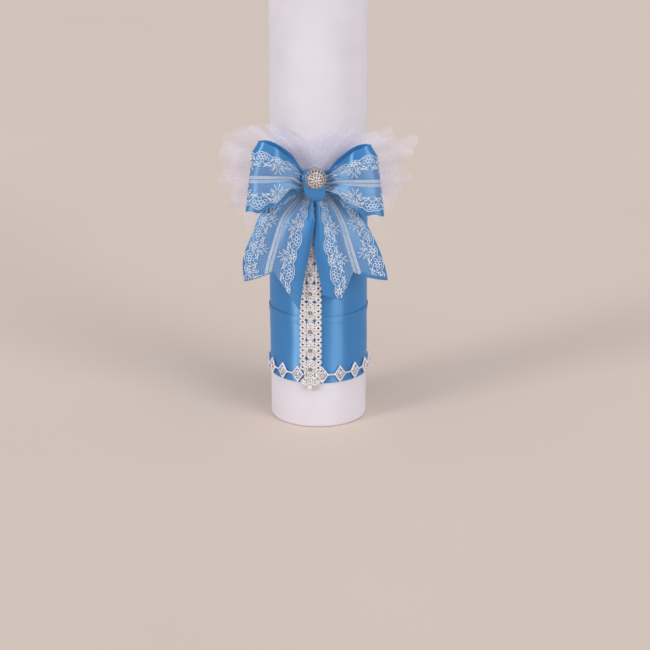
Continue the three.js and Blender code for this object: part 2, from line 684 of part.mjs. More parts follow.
function knotBand() {
  const bottom = BOW_HEIGHT - KNOT_BOTTOM;
  const ring = waistRing(knotBack, knotFront, BOW_HEIGHT + KNOT_TOP, bottom, KNOT_CORNERS, 3);
  const rows = [-1, -0.34, 0.3, 1];
  return sheet(ring.length, rows.length - 1, (i, j, side) => {
    const { y, z, angle } = ring[i];
    const offset = (side - 0.5) * CLOTH_THICKNESS;
    const narrowing = 1 - KNOT_NARROWING * (1 - smooth(bottom, BOW_HEIGHT - 4, z));
    const x = BOW_X - KNOT_ASIDE + (rows[j] * KNOT_WIDTH * narrowing) / 2;
    return new THREE.Vector3(x, -(y + offset * Math.cos(angle)), z + offset * Math.sin(angle));
  }, true);
}

function waistThread() {
  const reach = WAIST_HALF_HEIGHT + SEAT_GAP + THREAD_RADIUS;
  const ring = waistRing(threadBack, threadFront, BOW_HEIGHT + reach, BOW_HEIGHT - reach, THREAD_CORNERS, 2);
  const sides = 6;
  const points = [];
  const faces = [];
  ring.forEach(({ y, z, angle }) => {
    for (let k = 0; k < sides; k++) {
      const turn = (k / sides) * 2 * Math.PI;
      const out = THREAD_RADIUS * Math.cos(turn);
      const x = BOW_X + THREAD_RADIUS * Math.sin(turn);
      points.push(new THREE.Vector3(x, -(y + out * Math.cos(angle)), z + out * Math.sin(angle)));
    }
  });
  for (let i = 0; i < ring.length; i++) {
    const next = (i + 1) % ring.length;
    for (let k = 0; k < sides; k++) {
      const after = (k + 1) % sides;
      faces.push([i * sides + k, next * sides + k, next * sides + after]);
      faces.push([i * sides + k, next * sides + after, i * sides + after]);
    }
  }
  return closedGeometry(points, faces);
}

// Tulle: three fans gathered behind the bow, wide at the sides and short above, with pleats that
// deepen outwards. Behind one another they spread apart towards the sides.

const tulleLayers = [
  { name: 'tulle_back', start: -42, ridges: 15, size: 1, sweep: 1, lean: 0 },
  { name: 'tulle_middle', start: -27, ridges: 13, size: 0.96, sweep: 0.625, lean: 0.5 },
  { name: 'tulle_front', start: -31, ridges: 12, size: 0.9, sweep: 0.25, lean: 1 },
];
const tulleRings = [0, 0.3, 0.65, 1];

function tulleReach(angle) {
  const fromTop = Math.abs(angle - 90);
  const widened = smooth(TULLE_WIDENS.from, TULLE_WIDENS.to, fromTop);
  const drooped = smooth(TULLE_DROOPS.from, TULLE_DROOPS.to, fromTop);
  const side = THREE.MathUtils.lerp(TULLE_TOP_REACH, TULLE_REACH, widened);
  return THREE.MathUtils.lerp(side, TULLE_FOOT_REACH, drooped);
}

function tulleFan(layer, middle) {
  const columns = 2 * layer.ridges;
  const span = 180 - 2 * layer.start;
  return sheet(columns, tulleRings.length - 1, (i, j, side) => {
    const ridge = i % 2 === 0 ? 1 : -1;
    const degrees = layer.start + (i / columns) * span;
    const angle = THREE.MathUtils.degToRad(degrees);
    const rim = layer.size * tulleReach(degrees) * (ridge > 0 ? 1 : 0.87);
    const radius = THREE.MathUtils.lerp(TULLE_HOLE, rim, tulleRings[j]);
    const x = radius * Math.cos(angle);
    const sideways = (Math.max(0, Math.abs(x) - PAD_RADIUS) / (TULLE_REACH - PAD_RADIUS)) ** 1.5;
    const outwards = (radius / TULLE_REACH) ** 1.5;
    const pleat = ridge * (TULLE_PLEAT * sideways + TULLE_GATHER * outwards);
    const bend = TULLE_LEAN * layer.lean * outwards - TULLE_SWEEP * layer.sweep * sideways;
    const forward = middle + bend + pleat + (side - 0.5) * TULLE_THICKNESS;
    return new THREE.Vector3(BOW_X + x, -forward, TULLE_HEIGHT + radius * Math.sin(angle));
  });
}

function gluePad() {
  const profile = [
    [0, 0],
    [PAD_RADIUS - 0.6, 0],
    [PAD_RADIUS, PAD_THICKNESS * 0.4],
    [PAD_RADIUS - 1.2, PAD_THICKNESS],
    [0, PAD_THICKNESS],
  ];
  const geometry = turnedPiece(profile, 16);
  geometry.rotateX(Math.PI / 2);
  geometry.translate(BOW_X, -padBack, TULLE_HEIGHT);
  return geometry;
}

// Brooch: a domed silver mount with a ring of beads and a ring of piercings, a rosette of crystal
// petals on it and a round stone in the middle. Built standing on +Z, then turned to face -Y.

function broochMount() {
  const beadRadius = (Math.PI * BROOCH_RADIUS) / BROOCH_BEADS * 0.66;
  const plate = BROOCH_RADIUS - beadRadius;
  const domeProfile = [
    [0, 0],
    [plate - 0.2, 0],
    [plate + 0.2, 0.5],
    [plate - 0.5, 1.3],
    [plate - 1.4, 1.6],
    [plate - 2.4, BROOCH_DEPTH * 0.85],
    [plate - 3, BROOCH_DEPTH],
    [0, BROOCH_DEPTH],
  ];
  let mount = solidOf(turnedPiece(domeProfile, BROOCH_BEADS));
  for (let k = 0; k < BROOCH_BEADS; k++) {
    const angle = ((k + 0.5) / BROOCH_BEADS) * 2 * Math.PI;
    const bead = new THREE.IcosahedronGeometry(beadRadius, 0);
    bead.translate(plate * Math.cos(angle), plate * Math.sin(angle), 0.95);
    mount = mount.add(solidOf(bead));
  }
  for (let k = 0; k < BROOCH_BEADS / 2; k++) {
    const angle = (k / (BROOCH_BEADS / 2)) * 2 * Math.PI;
    const piercing = new THREE.CylinderGeometry(0.5, 0.5, 2.4, 4);
    piercing.rotateX(Math.PI / 2);
    piercing.translate((plate - 1.9) * Math.cos(angle), (plate - 1.9) * Math.sin(angle), 2.2);
    mount = mount.subtract(solidOf(piercing));
  }
  return geometryOf(mount);
}

function broochRosette() {
  const columns = 2 * BROOCH_PETALS;
  const rings = [[1.1, 0.25], [1.6, 1.5], [2.3, 1.7], [3.1, 0.9], [3.3, 0.25]];
  return sheet(columns, rings.length - 1, (i, j, side) => {
    const angle = (i / columns) * 2 * Math.PI;
    const [radius, height] = rings[j];
    const petal = i % 2 === 0 ? 1.04 : 0.86;
    const dip = i % 2 === 0 ? 1 : 0.7;
    const spread = j < 2 ? radius : radius * petal;
    return new THREE.Vector3(spread * Math.cos(angle), spread * Math.sin(angle), side ? height * dip : 0);
  }, true);
}

function faceForward(piece, depth) {
  piece.rotation.x = Math.PI / 2;
  piece.position.set(BROOCH_X, -depth, BROOCH_HEIGHT);
}

// Assembly

addPiece('candle_body', candleBody(), 'wax');
addPiece('wick', wick(), 'cotton');
addPiece('satin_band_lower', satinBand(WRAP_BOTTOM, true), 'satin');
addPiece('satin_band_middle', satinBand(WRAP_BOTTOM + WRAP_PITCH, true), 'satin');
addPiece('satin_band_upper', satinBand(WRAP_BOTTOM + 2 * WRAP_PITCH, false), 'satin');

addPiece('lozenge_chain', lozengeChain(), 'silver');
for (let k = 0; k < CHAIN_COUNT; k++) {
  const name = `chain_stone_${String(k + 1).padStart(2, '0')}`;
  setStone(name, CHAIN_STONE_RADIUS, 1.3, chainFront, chainStart + k * chainStep, CHAIN_HEIGHT);
}

addPiece('front_braid', frontBraid(), 'lace');
for (let k = 0; k < braidMotifs; k++) {
  const z = BRAID_FIRST_STONE + k * BRAID_PITCH;
  setStone(`braid_stone_${k + 1}`, BRAID_STONE_RADIUS, 1.2, braidFront, BRAID_ANGLE, z);
}
addPiece('pearl_pin', pearlPin(), 'pearl');

addPiece('glue_pad', gluePad(), 'glue');
tulleLayers.forEach((layer, k) => addPiece(layer.name, tulleFan(layer, tulleMiddle[k]), 'tulle'));
addPiece('tail_satin', tailRibbon(tailRows, 0), 'satin');
addPiece('tail_lace', tailRibbon(tailLaceRows, clothStep), 'lace');
addPiece('loop_satin', loopRibbon(pleatRows, 0), 'satin');
addPiece('loop_lace', loopRibbon(loopLaceRows, clothStep), 'lace');
addPiece('waist_thread', waistThread(), 'cotton');
addPiece('knot_band', knotBand(), 'satin');

faceForward(addPiece('brooch_mount', broochMount(), 'silver'), broochBack);
faceForward(addPiece('brooch_rosette', broochRosette(), 'crystal'), broochBack + BROOCH_DEPTH + SEAT_GAP);
const broochStone = addPiece('brooch_stone', stone(1.3, 1.4), 'crystal');
broochStone.position.set(BROOCH_X, -(broochBack + BROOCH_DEPTH + SEAT_GAP + 1.6), BROOCH_HEIGHT);

export default candle;
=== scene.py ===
"""A baptism candle, dressed: wax, satin, lace, tulle, braid, chain, stones and brooch.

In the row frame: +Z up along the wick, -Y towards the bow. Sizes in this file are in millimetres,
and the points of a mesh are scaled to metres as it is made. The camera and the materials count in
metres, apart from the materials' cloth coordinates.
"""
import math

import bpy
import numpy as np
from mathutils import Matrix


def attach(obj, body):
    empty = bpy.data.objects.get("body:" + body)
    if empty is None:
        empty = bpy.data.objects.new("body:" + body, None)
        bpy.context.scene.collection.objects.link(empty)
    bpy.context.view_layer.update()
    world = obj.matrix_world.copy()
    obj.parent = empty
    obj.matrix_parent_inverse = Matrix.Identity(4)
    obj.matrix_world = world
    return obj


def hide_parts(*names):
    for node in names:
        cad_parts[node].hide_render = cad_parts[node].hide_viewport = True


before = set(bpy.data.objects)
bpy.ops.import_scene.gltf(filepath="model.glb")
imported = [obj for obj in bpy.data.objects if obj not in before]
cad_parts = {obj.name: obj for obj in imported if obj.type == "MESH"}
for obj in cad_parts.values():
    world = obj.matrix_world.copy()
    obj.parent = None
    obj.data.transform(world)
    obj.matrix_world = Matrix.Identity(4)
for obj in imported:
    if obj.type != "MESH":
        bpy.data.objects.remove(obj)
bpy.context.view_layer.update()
scene = bpy.context.scene

MM = 0.001

# Driving sizes, mostly those of the solids
CANDLE_RADIUS = 35.0
CANDLE_HEIGHT = 400.0
RIBBON_WIDTH = 50.8
WRAP_BOTTOM = 34.7
WRAP_LAP = 3.0
WRAP_PITCH = RIBBON_WIDTH - WRAP_LAP
WRAP_OUTER = 35.6
LAP_LIFT = 0.55

BRAID_ANGLE = math.radians(-9)
BRAID_PITCH = 14.4
BRAID_MOTIFS = 9
BRAID_FIRST_STONE = 45.8
BRAID_FOOT = 41.0
BRAID_BACK = 36.45
BRAID_SCALLOP_PITCH = BRAID_PITCH * 3 / 10
PEARL_HEIGHT = 32.9

CHAIN_HEIGHT = 41.5
CHAIN_COUNT = 17
CHAIN_OPENING = math.radians(28.8)
CHAIN_TURN = math.radians(-0.9)
CHAIN_STEP = (2 * math.pi - CHAIN_OPENING) / (CHAIN_COUNT - 1)
CHAIN_START = BRAID_ANGLE + CHAIN_TURN + CHAIN_OPENING / 2
CHAIN_BACK = 35.9
LOZENGE_WIDTH = 9.2
LOZENGE_HEIGHT = 12.3

BOW_X = -2.0
BOW_HEIGHT = 188.0
LACE_HALF = RIBBON_WIDTH * 5 / 12
LACE_REPEAT = 22.0
LACE_GAP = 0.35


# Making meshes

TUBE_SIDES = 6
BALL_SIDES = 8


def mesh_object(name, points, faces, look):
    """A mesh object from points in millimetres."""
    mesh = bpy.data.meshes.new(name)
    points = points.reshape(-1, 3) * MM
    mesh.from_pydata(points.tolist(), [], [tuple(map(int, f)) for f in faces])
    mesh.validate()
    mesh.materials.append(look)
    made = bpy.data.objects.new(name, mesh)
    scene.collection.objects.link(made)
    return made


def piece(name, points, faces, look, smooth=True, uvs=None):
    """A piece of the candle. It rides on the one body."""
    made = mesh_object(name, points, faces, look)
    mesh = made.data
    mesh.polygons.foreach_set("use_smooth", [smooth] * len(mesh.polygons))
    if uvs is not None:
        layer = mesh.uv_layers.new(name="cloth")
        corners = np.zeros(len(mesh.loops), np.int32)
        mesh.loops.foreach_get("vertex_index", corners)
        layer.data.foreach_set("uv", uvs.reshape(-1, 2)[corners].ravel())
    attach(made, "root")
    return made


def grid_faces(columns, rows, loop_columns=False, loop_rows=False):
    """Quads over a grid of points stored column by column, rows points in each column."""
    i = np.arange(columns if loop_columns else columns - 1)
    j = np.arange(rows if loop_rows else rows - 1)
    i, j = grid(i, j)
    after = (i + 1) % columns
    above = (j + 1) % rows
    quads = stacked(i * rows + j, after * rows + j, after * rows + above, i * rows + above)
    return quads.reshape(-1, 4).tolist()


def cloth(name, points, look, across, along, loop_columns=False):
    """A piece of cloth over a grid of points, with its own coordinates across and along it."""
    faces = grid_faces(*points.shape[:2], loop_columns=loop_columns)
    return piece(name, points, faces, look, uvs=stacked(across, along))


def thicken(made, thickness, offset):
    """Gives cloth its thickness, in millimetres, at offset -1 all behind it and at 0 to both sides."""
    solidify = made.modifiers.new("thickness", "SOLIDIFY")
    solidify.thickness = thickness * MM
    solidify.offset = offset


def joined(parts):
    """Points and faces of several (points, faces) parts as one."""
    points, faces, count = [], [], 0
    for part_points, part_faces in parts:
        points.append(part_points)
        faces.extend([tuple(k + count for k in f) for f in part_faces])
        count += len(part_points)
    return np.concatenate(points), faces


def stacked(*coordinates):
    return np.stack(coordinates, axis=-1)


def grid(down, across):
    return np.meshgrid(down, across, indexing="ij")


def unit(vectors):
    return vectors / np.maximum(np.linalg.norm(vectors, axis=-1, keepdims=True), 1e-9)


def around(radius, angle, z):
    """Points at an angle round the candle, from the front towards +X."""
    radius, angle, z = np.broadcast_arrays(radius, angle, z)
    return stacked(radius * np.sin(angle), -radius * np.cos(angle), z)


def turned(points, angle):
    """Points turned about +Z."""
    x, y, z = points.T
    cos, sin = math.cos(angle), math.sin(angle)
    return stacked(x * cos - y * sin, x * sin + y * cos, z)


def full_turn(steps):
    return np.linspace(0, 2 * math.pi, steps, endpoint=False)


def circle(radius, steps):
    turn = full_turn(steps)
    return stacked(radius * np.cos(turn), radius * np.sin(turn))


def lathe(profile, sides):
    """A turned form about +Z from [radius, height] pairs, closed where the radius is 0."""
    profile = np.asarray(profile, float)
    angle = full_turn(sides)[:, None]
    points = around(profile[None, :, 0], angle, profile[None, :, 1])
    return points.reshape(-1, 3), grid_faces(sides, len(profile), loop_columns=True)


def directions(path, closed):
    """The direction of a path at each of its points."""
    if closed:
        return unit(np.roll(path, -1, axis=0) - np.roll(path, 1, axis=0))
    return unit(np.gradient(path, axis=0))


def tube(path, radius, closed=False):
    """A round tube along a path of points."""
    path = np.asarray(path, float)
    along = directions(path, closed)
    helper = np.where(np.abs(along[:, 2:3]) > 0.9, [[1.0, 0, 0]], [[0, 0, 1.0]])
    side = unit(np.cross(along, helper))
    up = np.cross(side, along)
    turn = full_turn(TUBE_SIDES)[None, :, None]
    points = path[:, None] + radius * (np.cos(turn) * side[:, None] + np.sin(turn) * up[:, None])
    faces = grid_faces(len(path), TUBE_SIDES, loop_columns=closed, loop_rows=True)
    if not closed:
        faces.append(list(range(TUBE_SIDES))[::-1])
        faces.append([(len(path) - 1) * TUBE_SIDES + k for k in range(TUBE_SIDES)])
    return points.reshape(-1, 3), faces


def ball(centre, radius, rings=5):
    """A round bead."""
    lat = np.linspace(-math.pi / 2, math.pi / 2, rings + 1)
    profile = stacked(np.cos(lat), np.sin(lat)) * radius
    points, faces = lathe(profile, BALL_SIDES)
    return points + centre, faces


def smoothstep(low, high, value):
    share = np.clip((value - low) / (high - low), 0, 1)
    return share * share * (3 - 2 * share)


def smooth_curve(points, at):
    """A smooth curve through points, at shares of its way from 0 to 1, and its direction."""
    points = np.asarray(points, float)
    ends = np.concatenate([[2 * points[0] - points[1]], points, [2 * points[-1] - points[-2]]])
    place = np.clip(at, 0, 1) * (len(points) - 1)
    index = np.minimum(place.astype(int), len(points) - 2)
    t = (place - index)[..., None]
    p0, p1, p2, p3 = (ends[index + k] for k in range(4))
    m1, m2 = (p2 - p0) / 2, (p3 - p1) / 2
    c2 = -3 * p1 + 3 * p2 - 2 * m1 - m2
    c3 = 2 * p1 - 2 * p2 + m1 + m2
    return p1 + t * (m1 + t * (c2 + t * c3)), m1 + t * (2 * c2 + 3 * t * c3)


def curved(points, steps):
    return smooth_curve(points, np.linspace(0, 1, steps))[0]


def lengths_along(points):
    """The length of a path up to each of its points."""
    return np.concatenate([[0], np.cumsum(np.linalg.norm(np.diff(points, axis=0), axis=1))])


# Materials


def material(name, build):
    made = bpy.data.materials.new(name)
    made.use_nodes = True
    nodes, links = made.node_tree.nodes, made.node_tree.links
    build(nodes, links, nodes["Principled BSDF"])
    return made


def set_inputs(node, **values):
    for name, value in values.items():
        node.inputs[name.replace("_", " ")].default_value = value


def noise(nodes, links, vector, scale, detail):
    node = nodes.new("ShaderNodeTexNoise")
    set_inputs(node, Scale=scale, Detail=detail)
    links.new(vector, node.inputs["Vector"])
    return node.outputs["Fac"]


def ramp(nodes, links, factor, stops):
    node = nodes.new("ShaderNodeValToRGB")
    elements = node.color_ramp.elements
    while len(elements) < len(stops):
        elements.new(0.5)
    for element, (position, colour) in zip(elements, stops):
        element.position = position
        element.color = (*colour, 1)
    links.new(factor, node.inputs["Fac"])
    return node.outputs["Color"]


def bump(nodes, links, shader, height, strength, distance):
    node = nodes.new("ShaderNodeBump")
    set_inputs(node, Strength=strength, Distance=distance)
    links.new(height, node.inputs["Height"])
    links.new(node.outputs["Normal"], shader.inputs["Normal"])


def stretched(nodes, links, scale):
    """Cloth coordinates (across, along) in millimetres, stretched so that marks run along."""
    uv = nodes.new("ShaderNodeUVMap")
    uv.uv_map = "cloth"
    mapping = nodes.new("ShaderNodeMapping")
    set_inputs(mapping, Scale=scale)
    links.new(uv.outputs["UV"], mapping.inputs["Vector"])
    return mapping.outputs["Vector"]


def in_object(nodes):
    """Object coordinates, in metres."""
    return nodes.new("ShaderNodeTexCoord").outputs["Object"]


def map_range(nodes, links, value, old, new):
    node = nodes.new("ShaderNodeMapRange")
    set_inputs(node, From_Min=old[0], From_Max=old[1], To_Min=new[0], To_Max=new[1])
    links.new(value, node.inputs["Value"])
    return node.outputs["Result"]


def base_spots(nodes, links, shader, vector, scale, detail, stops):
    """Sets the base colour from a noise by a ramp, and gives the noise back."""
    spots = noise(nodes, links, vector, scale, detail)
    links.new(ramp(nodes, links, spots, stops), shader.inputs["Base Color"])
    return spots


def spotted_look(scale, detail, stops, rough=None, **inputs):
    """A look with spots in its base colour, and a bump of (strength, distance) from them."""

    def build(nodes, links, shader):
        set_inputs(shader, **inputs)
        spots = base_spots(nodes, links, shader, in_object(nodes), scale, detail, stops)
        if rough is not None:
            bump(nodes, links, shader, spots, *rough)

    return build


def thread_look(colour, dark, scale):
    stops = [(0.3, dark), (0.65, colour)]
    return spotted_look(scale, 3.0, stops, (0.35, 0.0001), Roughness=0.62, Sheen_Weight=0.3)


def metal_look(colour, dark, roughness, metallic):
    stops = [(0.35, dark), (0.6, colour)]
    return spotted_look(420, 3.0, stops, (0.1, 0.0001), Roughness=roughness, Metallic=metallic)


# A cut stone's base colour is spotted light and dark at about the size of its facets: painted glints and
# painted dark reflections over the stone's own tone.
def stone_look(colour, dark):
    stops = [(0.4, dark), (0.6, colour)]
    return spotted_look(1300, 1.0, stops, Roughness=0.2, Metallic=0.3, Coat_Weight=0.6, Coat_Roughness=0.15)


def satin_look(nodes, links, shader):
    set_inputs(shader, Roughness=0.44, Anisotropic=1.0, IOR=2.0, Sheen_Weight=0.25, Sheen_Roughness=0.35)
    set_inputs(shader, Specular_IOR_Level=1.0, Specular_Tint=(0.43, 0.76, 1, 1), Sheen_Tint=(0.5, 0.75, 1, 1))
    tangent = nodes.new("ShaderNodeTangent")
    tangent.direction_type = "UV_MAP"
    tangent.uv_map = "cloth"
    links.new(tangent.outputs["Tangent"], shader.inputs["Tangent"])
    weave = stretched(nodes, links, (2.6, 0.03, 1))
    stops = [(0.3, (0.016, 0.163, 0.45)), (0.7, (0.026, 0.193, 0.51))]
    threads = base_spots(nodes, links, shader, weave, 1.0, 3.0, stops)
    bump(nodes, links, shader, threads, 0.12, 0.0002)


def wax_look(nodes, links, shader):
    set_inputs(shader, Roughness=0.6, Subsurface_Weight=0.35, Subsurface_Scale=0.006)
    set_inputs(shader, Specular_IOR_Level=0.2, Subsurface_Radius=(1.0, 0.85, 0.8))
    place = in_object(nodes)
    stops = [(0.25, (0.70, 0.665, 0.72)), (0.75, (0.755, 0.725, 0.77))]
    base_spots(nodes, links, shader, place, 38, 3.0, stops)
    bump(nodes, links, shader, noise(nodes, links, place, 240, 2.0), 0.06, 0.0004)


def tulle_look(nodes, links, shader):
    """Sheer net: its threads and its folds, which run from the rim to the middle, hide more."""
    set_inputs(shader, Roughness=0.8, Sheen_Weight=0.3)
    place = in_object(nodes)
    stops = [(0.3, (0.74, 0.715, 0.88)), (0.7, (0.82, 0.79, 0.96))]
    base_spots(nodes, links, shader, place, 60, 2.0, stops)
    cells = nodes.new("ShaderNodeTexVoronoi")
    cells.feature = "DISTANCE_TO_EDGE"
    set_inputs(cells, Scale=1250)
    links.new(place, cells.inputs["Vector"])
    threads = map_range(nodes, links, cells.outputs["Distance"], (0.02, 0.22), (0.28, 0.09))
    folds = noise(nodes, links, stretched(nodes, links, (0.28, 0.022, 1)), 1.0, 3.0)
    gathered = map_range(nodes, links, folds, (0.3, 0.7), (0.55, 1.45))
    alpha = nodes.new("ShaderNodeMath")
    alpha.operation = "MULTIPLY"
    links.new(threads, alpha.inputs[0])
    links.new(gathered, alpha.inputs[1])
    links.new(alpha.outputs["Value"], shader.inputs["Alpha"])


pearl_look = spotted_look(
    500, 2.0, [(0.35, (0.70, 0.64, 0.61)), (0.65, (0.79, 0.74, 0.71))],
    Roughness=0.22, Coat_Weight=0.6, Coat_Roughness=0.1, Sheen_Weight=0.2,
)
glue_look = spotted_look(
    200, 2.0, [(0.3, (0.68, 0.64, 0.52)), (0.7, (0.8, 0.77, 0.66))],
    Roughness=0.35, Subsurface_Weight=0.3, Subsurface_Scale=0.002,
)
floor_look = spotted_look(3, 2.0, [(0.3, (0.77, 0.64, 0.555)), (0.7, (0.79, 0.66, 0.575))], Roughness=0.9)

satin = material("satin", satin_look)
wax = material("wax", wax_look)
lace_thread = material("lace_thread", thread_look((0.66, 0.755, 0.87), (0.44, 0.55, 0.70), 900))
braid_thread = material("braid_thread", thread_look((0.82, 0.78, 0.78), (0.60, 0.56, 0.56), 700))
cotton = material("cotton", thread_look((0.86, 0.83, 0.76), (0.66, 0.62, 0.55), 700))
tulle = material("tulle", tulle_look)
silver = material("silver", metal_look((0.86, 0.85, 0.90), (0.62, 0.61, 0.66), 0.34, 0.35))
brooch_silver = material("brooch_silver", metal_look((0.82, 0.74, 0.70), (0.50, 0.42, 0.39), 0.34, 0.45))
# A dark dome under the brooch's filigree: painted shade in the filigree's openings.
brooch_painted_shade = material("brooch_painted_shade", metal_look((0.16, 0.11, 0.10), (0.07, 0.045, 0.04), 0.5, 0.3))
# The braid's brown stones are darkened further by painted dark reflections; the chain's and the brooch's
# stones are paler.
crystal = material("crystal", stone_look((0.50, 0.42, 0.38), (0.08, 0.05, 0.045)))
bright_crystal = material("bright_crystal", stone_look((0.84, 0.82, 0.83), (0.34, 0.27, 0.24)))
pale_crystal = material("pale_crystal", stone_look((0.96, 0.93, 0.89), (0.84, 0.79, 0.74)))
pearl = material("pearl", pearl_look)
glue = material("glue", glue_look)


# Camera, floor and lights

FLOOR_RADIUS = 8000.0

camera_data = bpy.data.cameras.new("camera")
camera_data.lens = 120.27
camera_data.sensor_width = 36
camera_data.clip_end = 50
camera = bpy.data.objects.new("camera", camera_data)
camera.location = (0.00475, -1.515, 0.58477)
camera.rotation_euler = (math.radians(90 - 18.857), 0, 0)
scene.collection.objects.link(camera)
scene.camera = camera
scene.view_settings.view_transform = "Standard"


def make_floor():
    points, faces = lathe([[FLOOR_RADIUS, 0], [0, 0]], 96)
    made = mesh_object("floor", points, faces, material("floor", floor_look))


def soft_sun(name, azimuth, elevation, spread, strength):
    """A broad soft light. Its azimuth is from the front towards +X, and all its angles in degrees."""
    data = bpy.data.lights.new(name, "SUN")
    data.angle = math.radians(spread)
    data.energy = strength
    light = bpy.data.objects.new(name, data)
    light.rotation_euler = (math.radians(90 - elevation), 0, math.radians(azimuth))
    scene.collection.objects.link(light)


make_floor()
soft_sun("light_left", -53, 17, 20, 1.3)
soft_sun("light_right", 43.5, 20, 33, 1.2)
soft_sun("light_top", 10, 72, 40, 0.5)

world = bpy.data.worlds.new("world")
world.use_nodes = True
set_inputs(world.node_tree.nodes["Background"], Color=(0.92, 0.93, 1.0, 1), Strength=0.46)
scene.world = world


# Wax and wick

RIM_ROUND = 1.8
BORE_RADIUS = 1.5
BORE_FLOOR = 7.0
BOWL = (
    # radius, below the top
    (20, 0.5), (8, 1.1), (3.2, 1.0), (1.9, 0.2), (BORE_RADIUS, 1.2),
)
WICK_FOOT = 7.5
WICK_PROUD = 11.6
WICK_TURN = 5.2
STRAND_SWING = 0.52
STRAND_RADIUS = 0.56


def quarter(centre_radius, centre_height, radius, start):
    """A quarter circle of a profile, from the angle start."""
    angle = start + np.linspace(0, math.pi / 2, 9)
    return [[centre_radius + radius * math.cos(a), centre_height + radius * math.sin(a)] for a in angle]


def make_candle():
    rim = CANDLE_RADIUS - RIM_ROUND
    profile = [[0, 0], [20, 0]]
    profile += quarter(rim, RIM_ROUND, RIM_ROUND, -math.pi / 2)
    profile += [[CANDLE_RADIUS, z] for z in np.linspace(20, CANDLE_HEIGHT - 20, 19)]
    profile += quarter(rim, CANDLE_HEIGHT - RIM_ROUND, RIM_ROUND, 0)
    profile += [[radius, CANDLE_HEIGHT - below] for radius, below in BOWL]
    profile += [[BORE_RADIUS, BORE_FLOOR], [0, BORE_FLOOR]]
    points, faces = lathe(profile, 128)
    made = piece("wax_pillar", points, faces, wax)
    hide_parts("candle_body")


def make_wick():
    """Three plaited strands, a little looser at the top."""
    parts = []
    z = np.linspace(WICK_FOOT, CANDLE_HEIGHT + WICK_PROUD, 640)
    for strand in range(3):
        turn = 2 * math.pi * (z / WICK_TURN) + strand * 2 * math.pi / 3
        radius = STRAND_SWING * np.where(z > CANDLE_HEIGHT + 10, 1.15, 1.0)
        path = stacked(radius * np.cos(turn), 0.62 * radius * np.sin(2 * turn), z)
        parts.append(tube(path, STRAND_RADIUS))
    points, faces = joined(parts)
    made = piece("braided_wick", points, faces, cotton)
    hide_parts("wick")


make_candle()
make_wick()


# Satin wrapped round the wax

BAND_SLIT = 0.5
BAND_ROWS = np.array([
    0, 0.25, 0.6, 1.2, 3, 8, 14, 20, 26, 32, 38, 43, 45.2, 46.4, 47.2, 47.9, 48.6, 49.6, 50.3, 50.6,
    RIBBON_WIDTH,
])


def wrap_wave(angle, z, seed):
    """The small unevenness of a ribbon that is wound by hand, in millimetres outwards."""
    wave = 0.10 * np.sin(3 * angle + seed) * np.sin(z / 11 + seed)
    return wave + 0.07 * np.sin(7 * angle - 2 * seed + z / 6)


def make_band(name, node, bottom, covers, seed):
    """One turn of ribbon. Where it covers the next one's edge, its top stands out."""
    slit = BAND_SLIT / CANDLE_RADIUS
    angle = np.linspace(BRAID_ANGLE + slit, BRAID_ANGLE + 2 * math.pi - slit, 241)
    height = bottom + BAND_ROWS
    lap = bottom + WRAP_PITCH
    lift = covers * LAP_LIFT * smoothstep(lap - 2.6, lap - 0.9, height)
    selvedge = 0.1 * (np.abs(height - bottom - RIBBON_WIDTH / 2) > RIBBON_WIDTH / 2 - 0.5)
    a, z = grid(angle, height)
    off_edge = smoothstep(0, 5, np.minimum(z - bottom, bottom + RIBBON_WIDTH - z))
    out = WRAP_OUTER + lift[None] + selvedge[None] + wrap_wave(a, z, seed) * off_edge
    made = cloth(name, around(out, a, z), satin, z - bottom, a * WRAP_OUTER)
    thicken(made, 0.25, -1)
    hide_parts(node)


make_band("wrap_lower", "satin_band_lower", WRAP_BOTTOM, True, 0.4)
make_band("wrap_middle", "satin_band_middle", WRAP_BOTTOM + WRAP_PITCH, True, 2.1)
make_band("wrap_upper", "satin_band_upper", WRAP_BOTTOM + 2 * WRAP_PITCH, False, 4.0)


# Threadwork: cords and petals drawn in a flat (u, v) plane, in millimetres, and then laid on a form

CORD_ACROSS = np.array([-0.5, -0.34, 0, 0.34, 0.5])
CORD_RISE = np.array([0, 0.72, 1, 0.72, 0])
BAR_RISE = np.array([0.3, 0.3, 1, 1, 0.3, 0.3])
PETAL_SIDES = 10


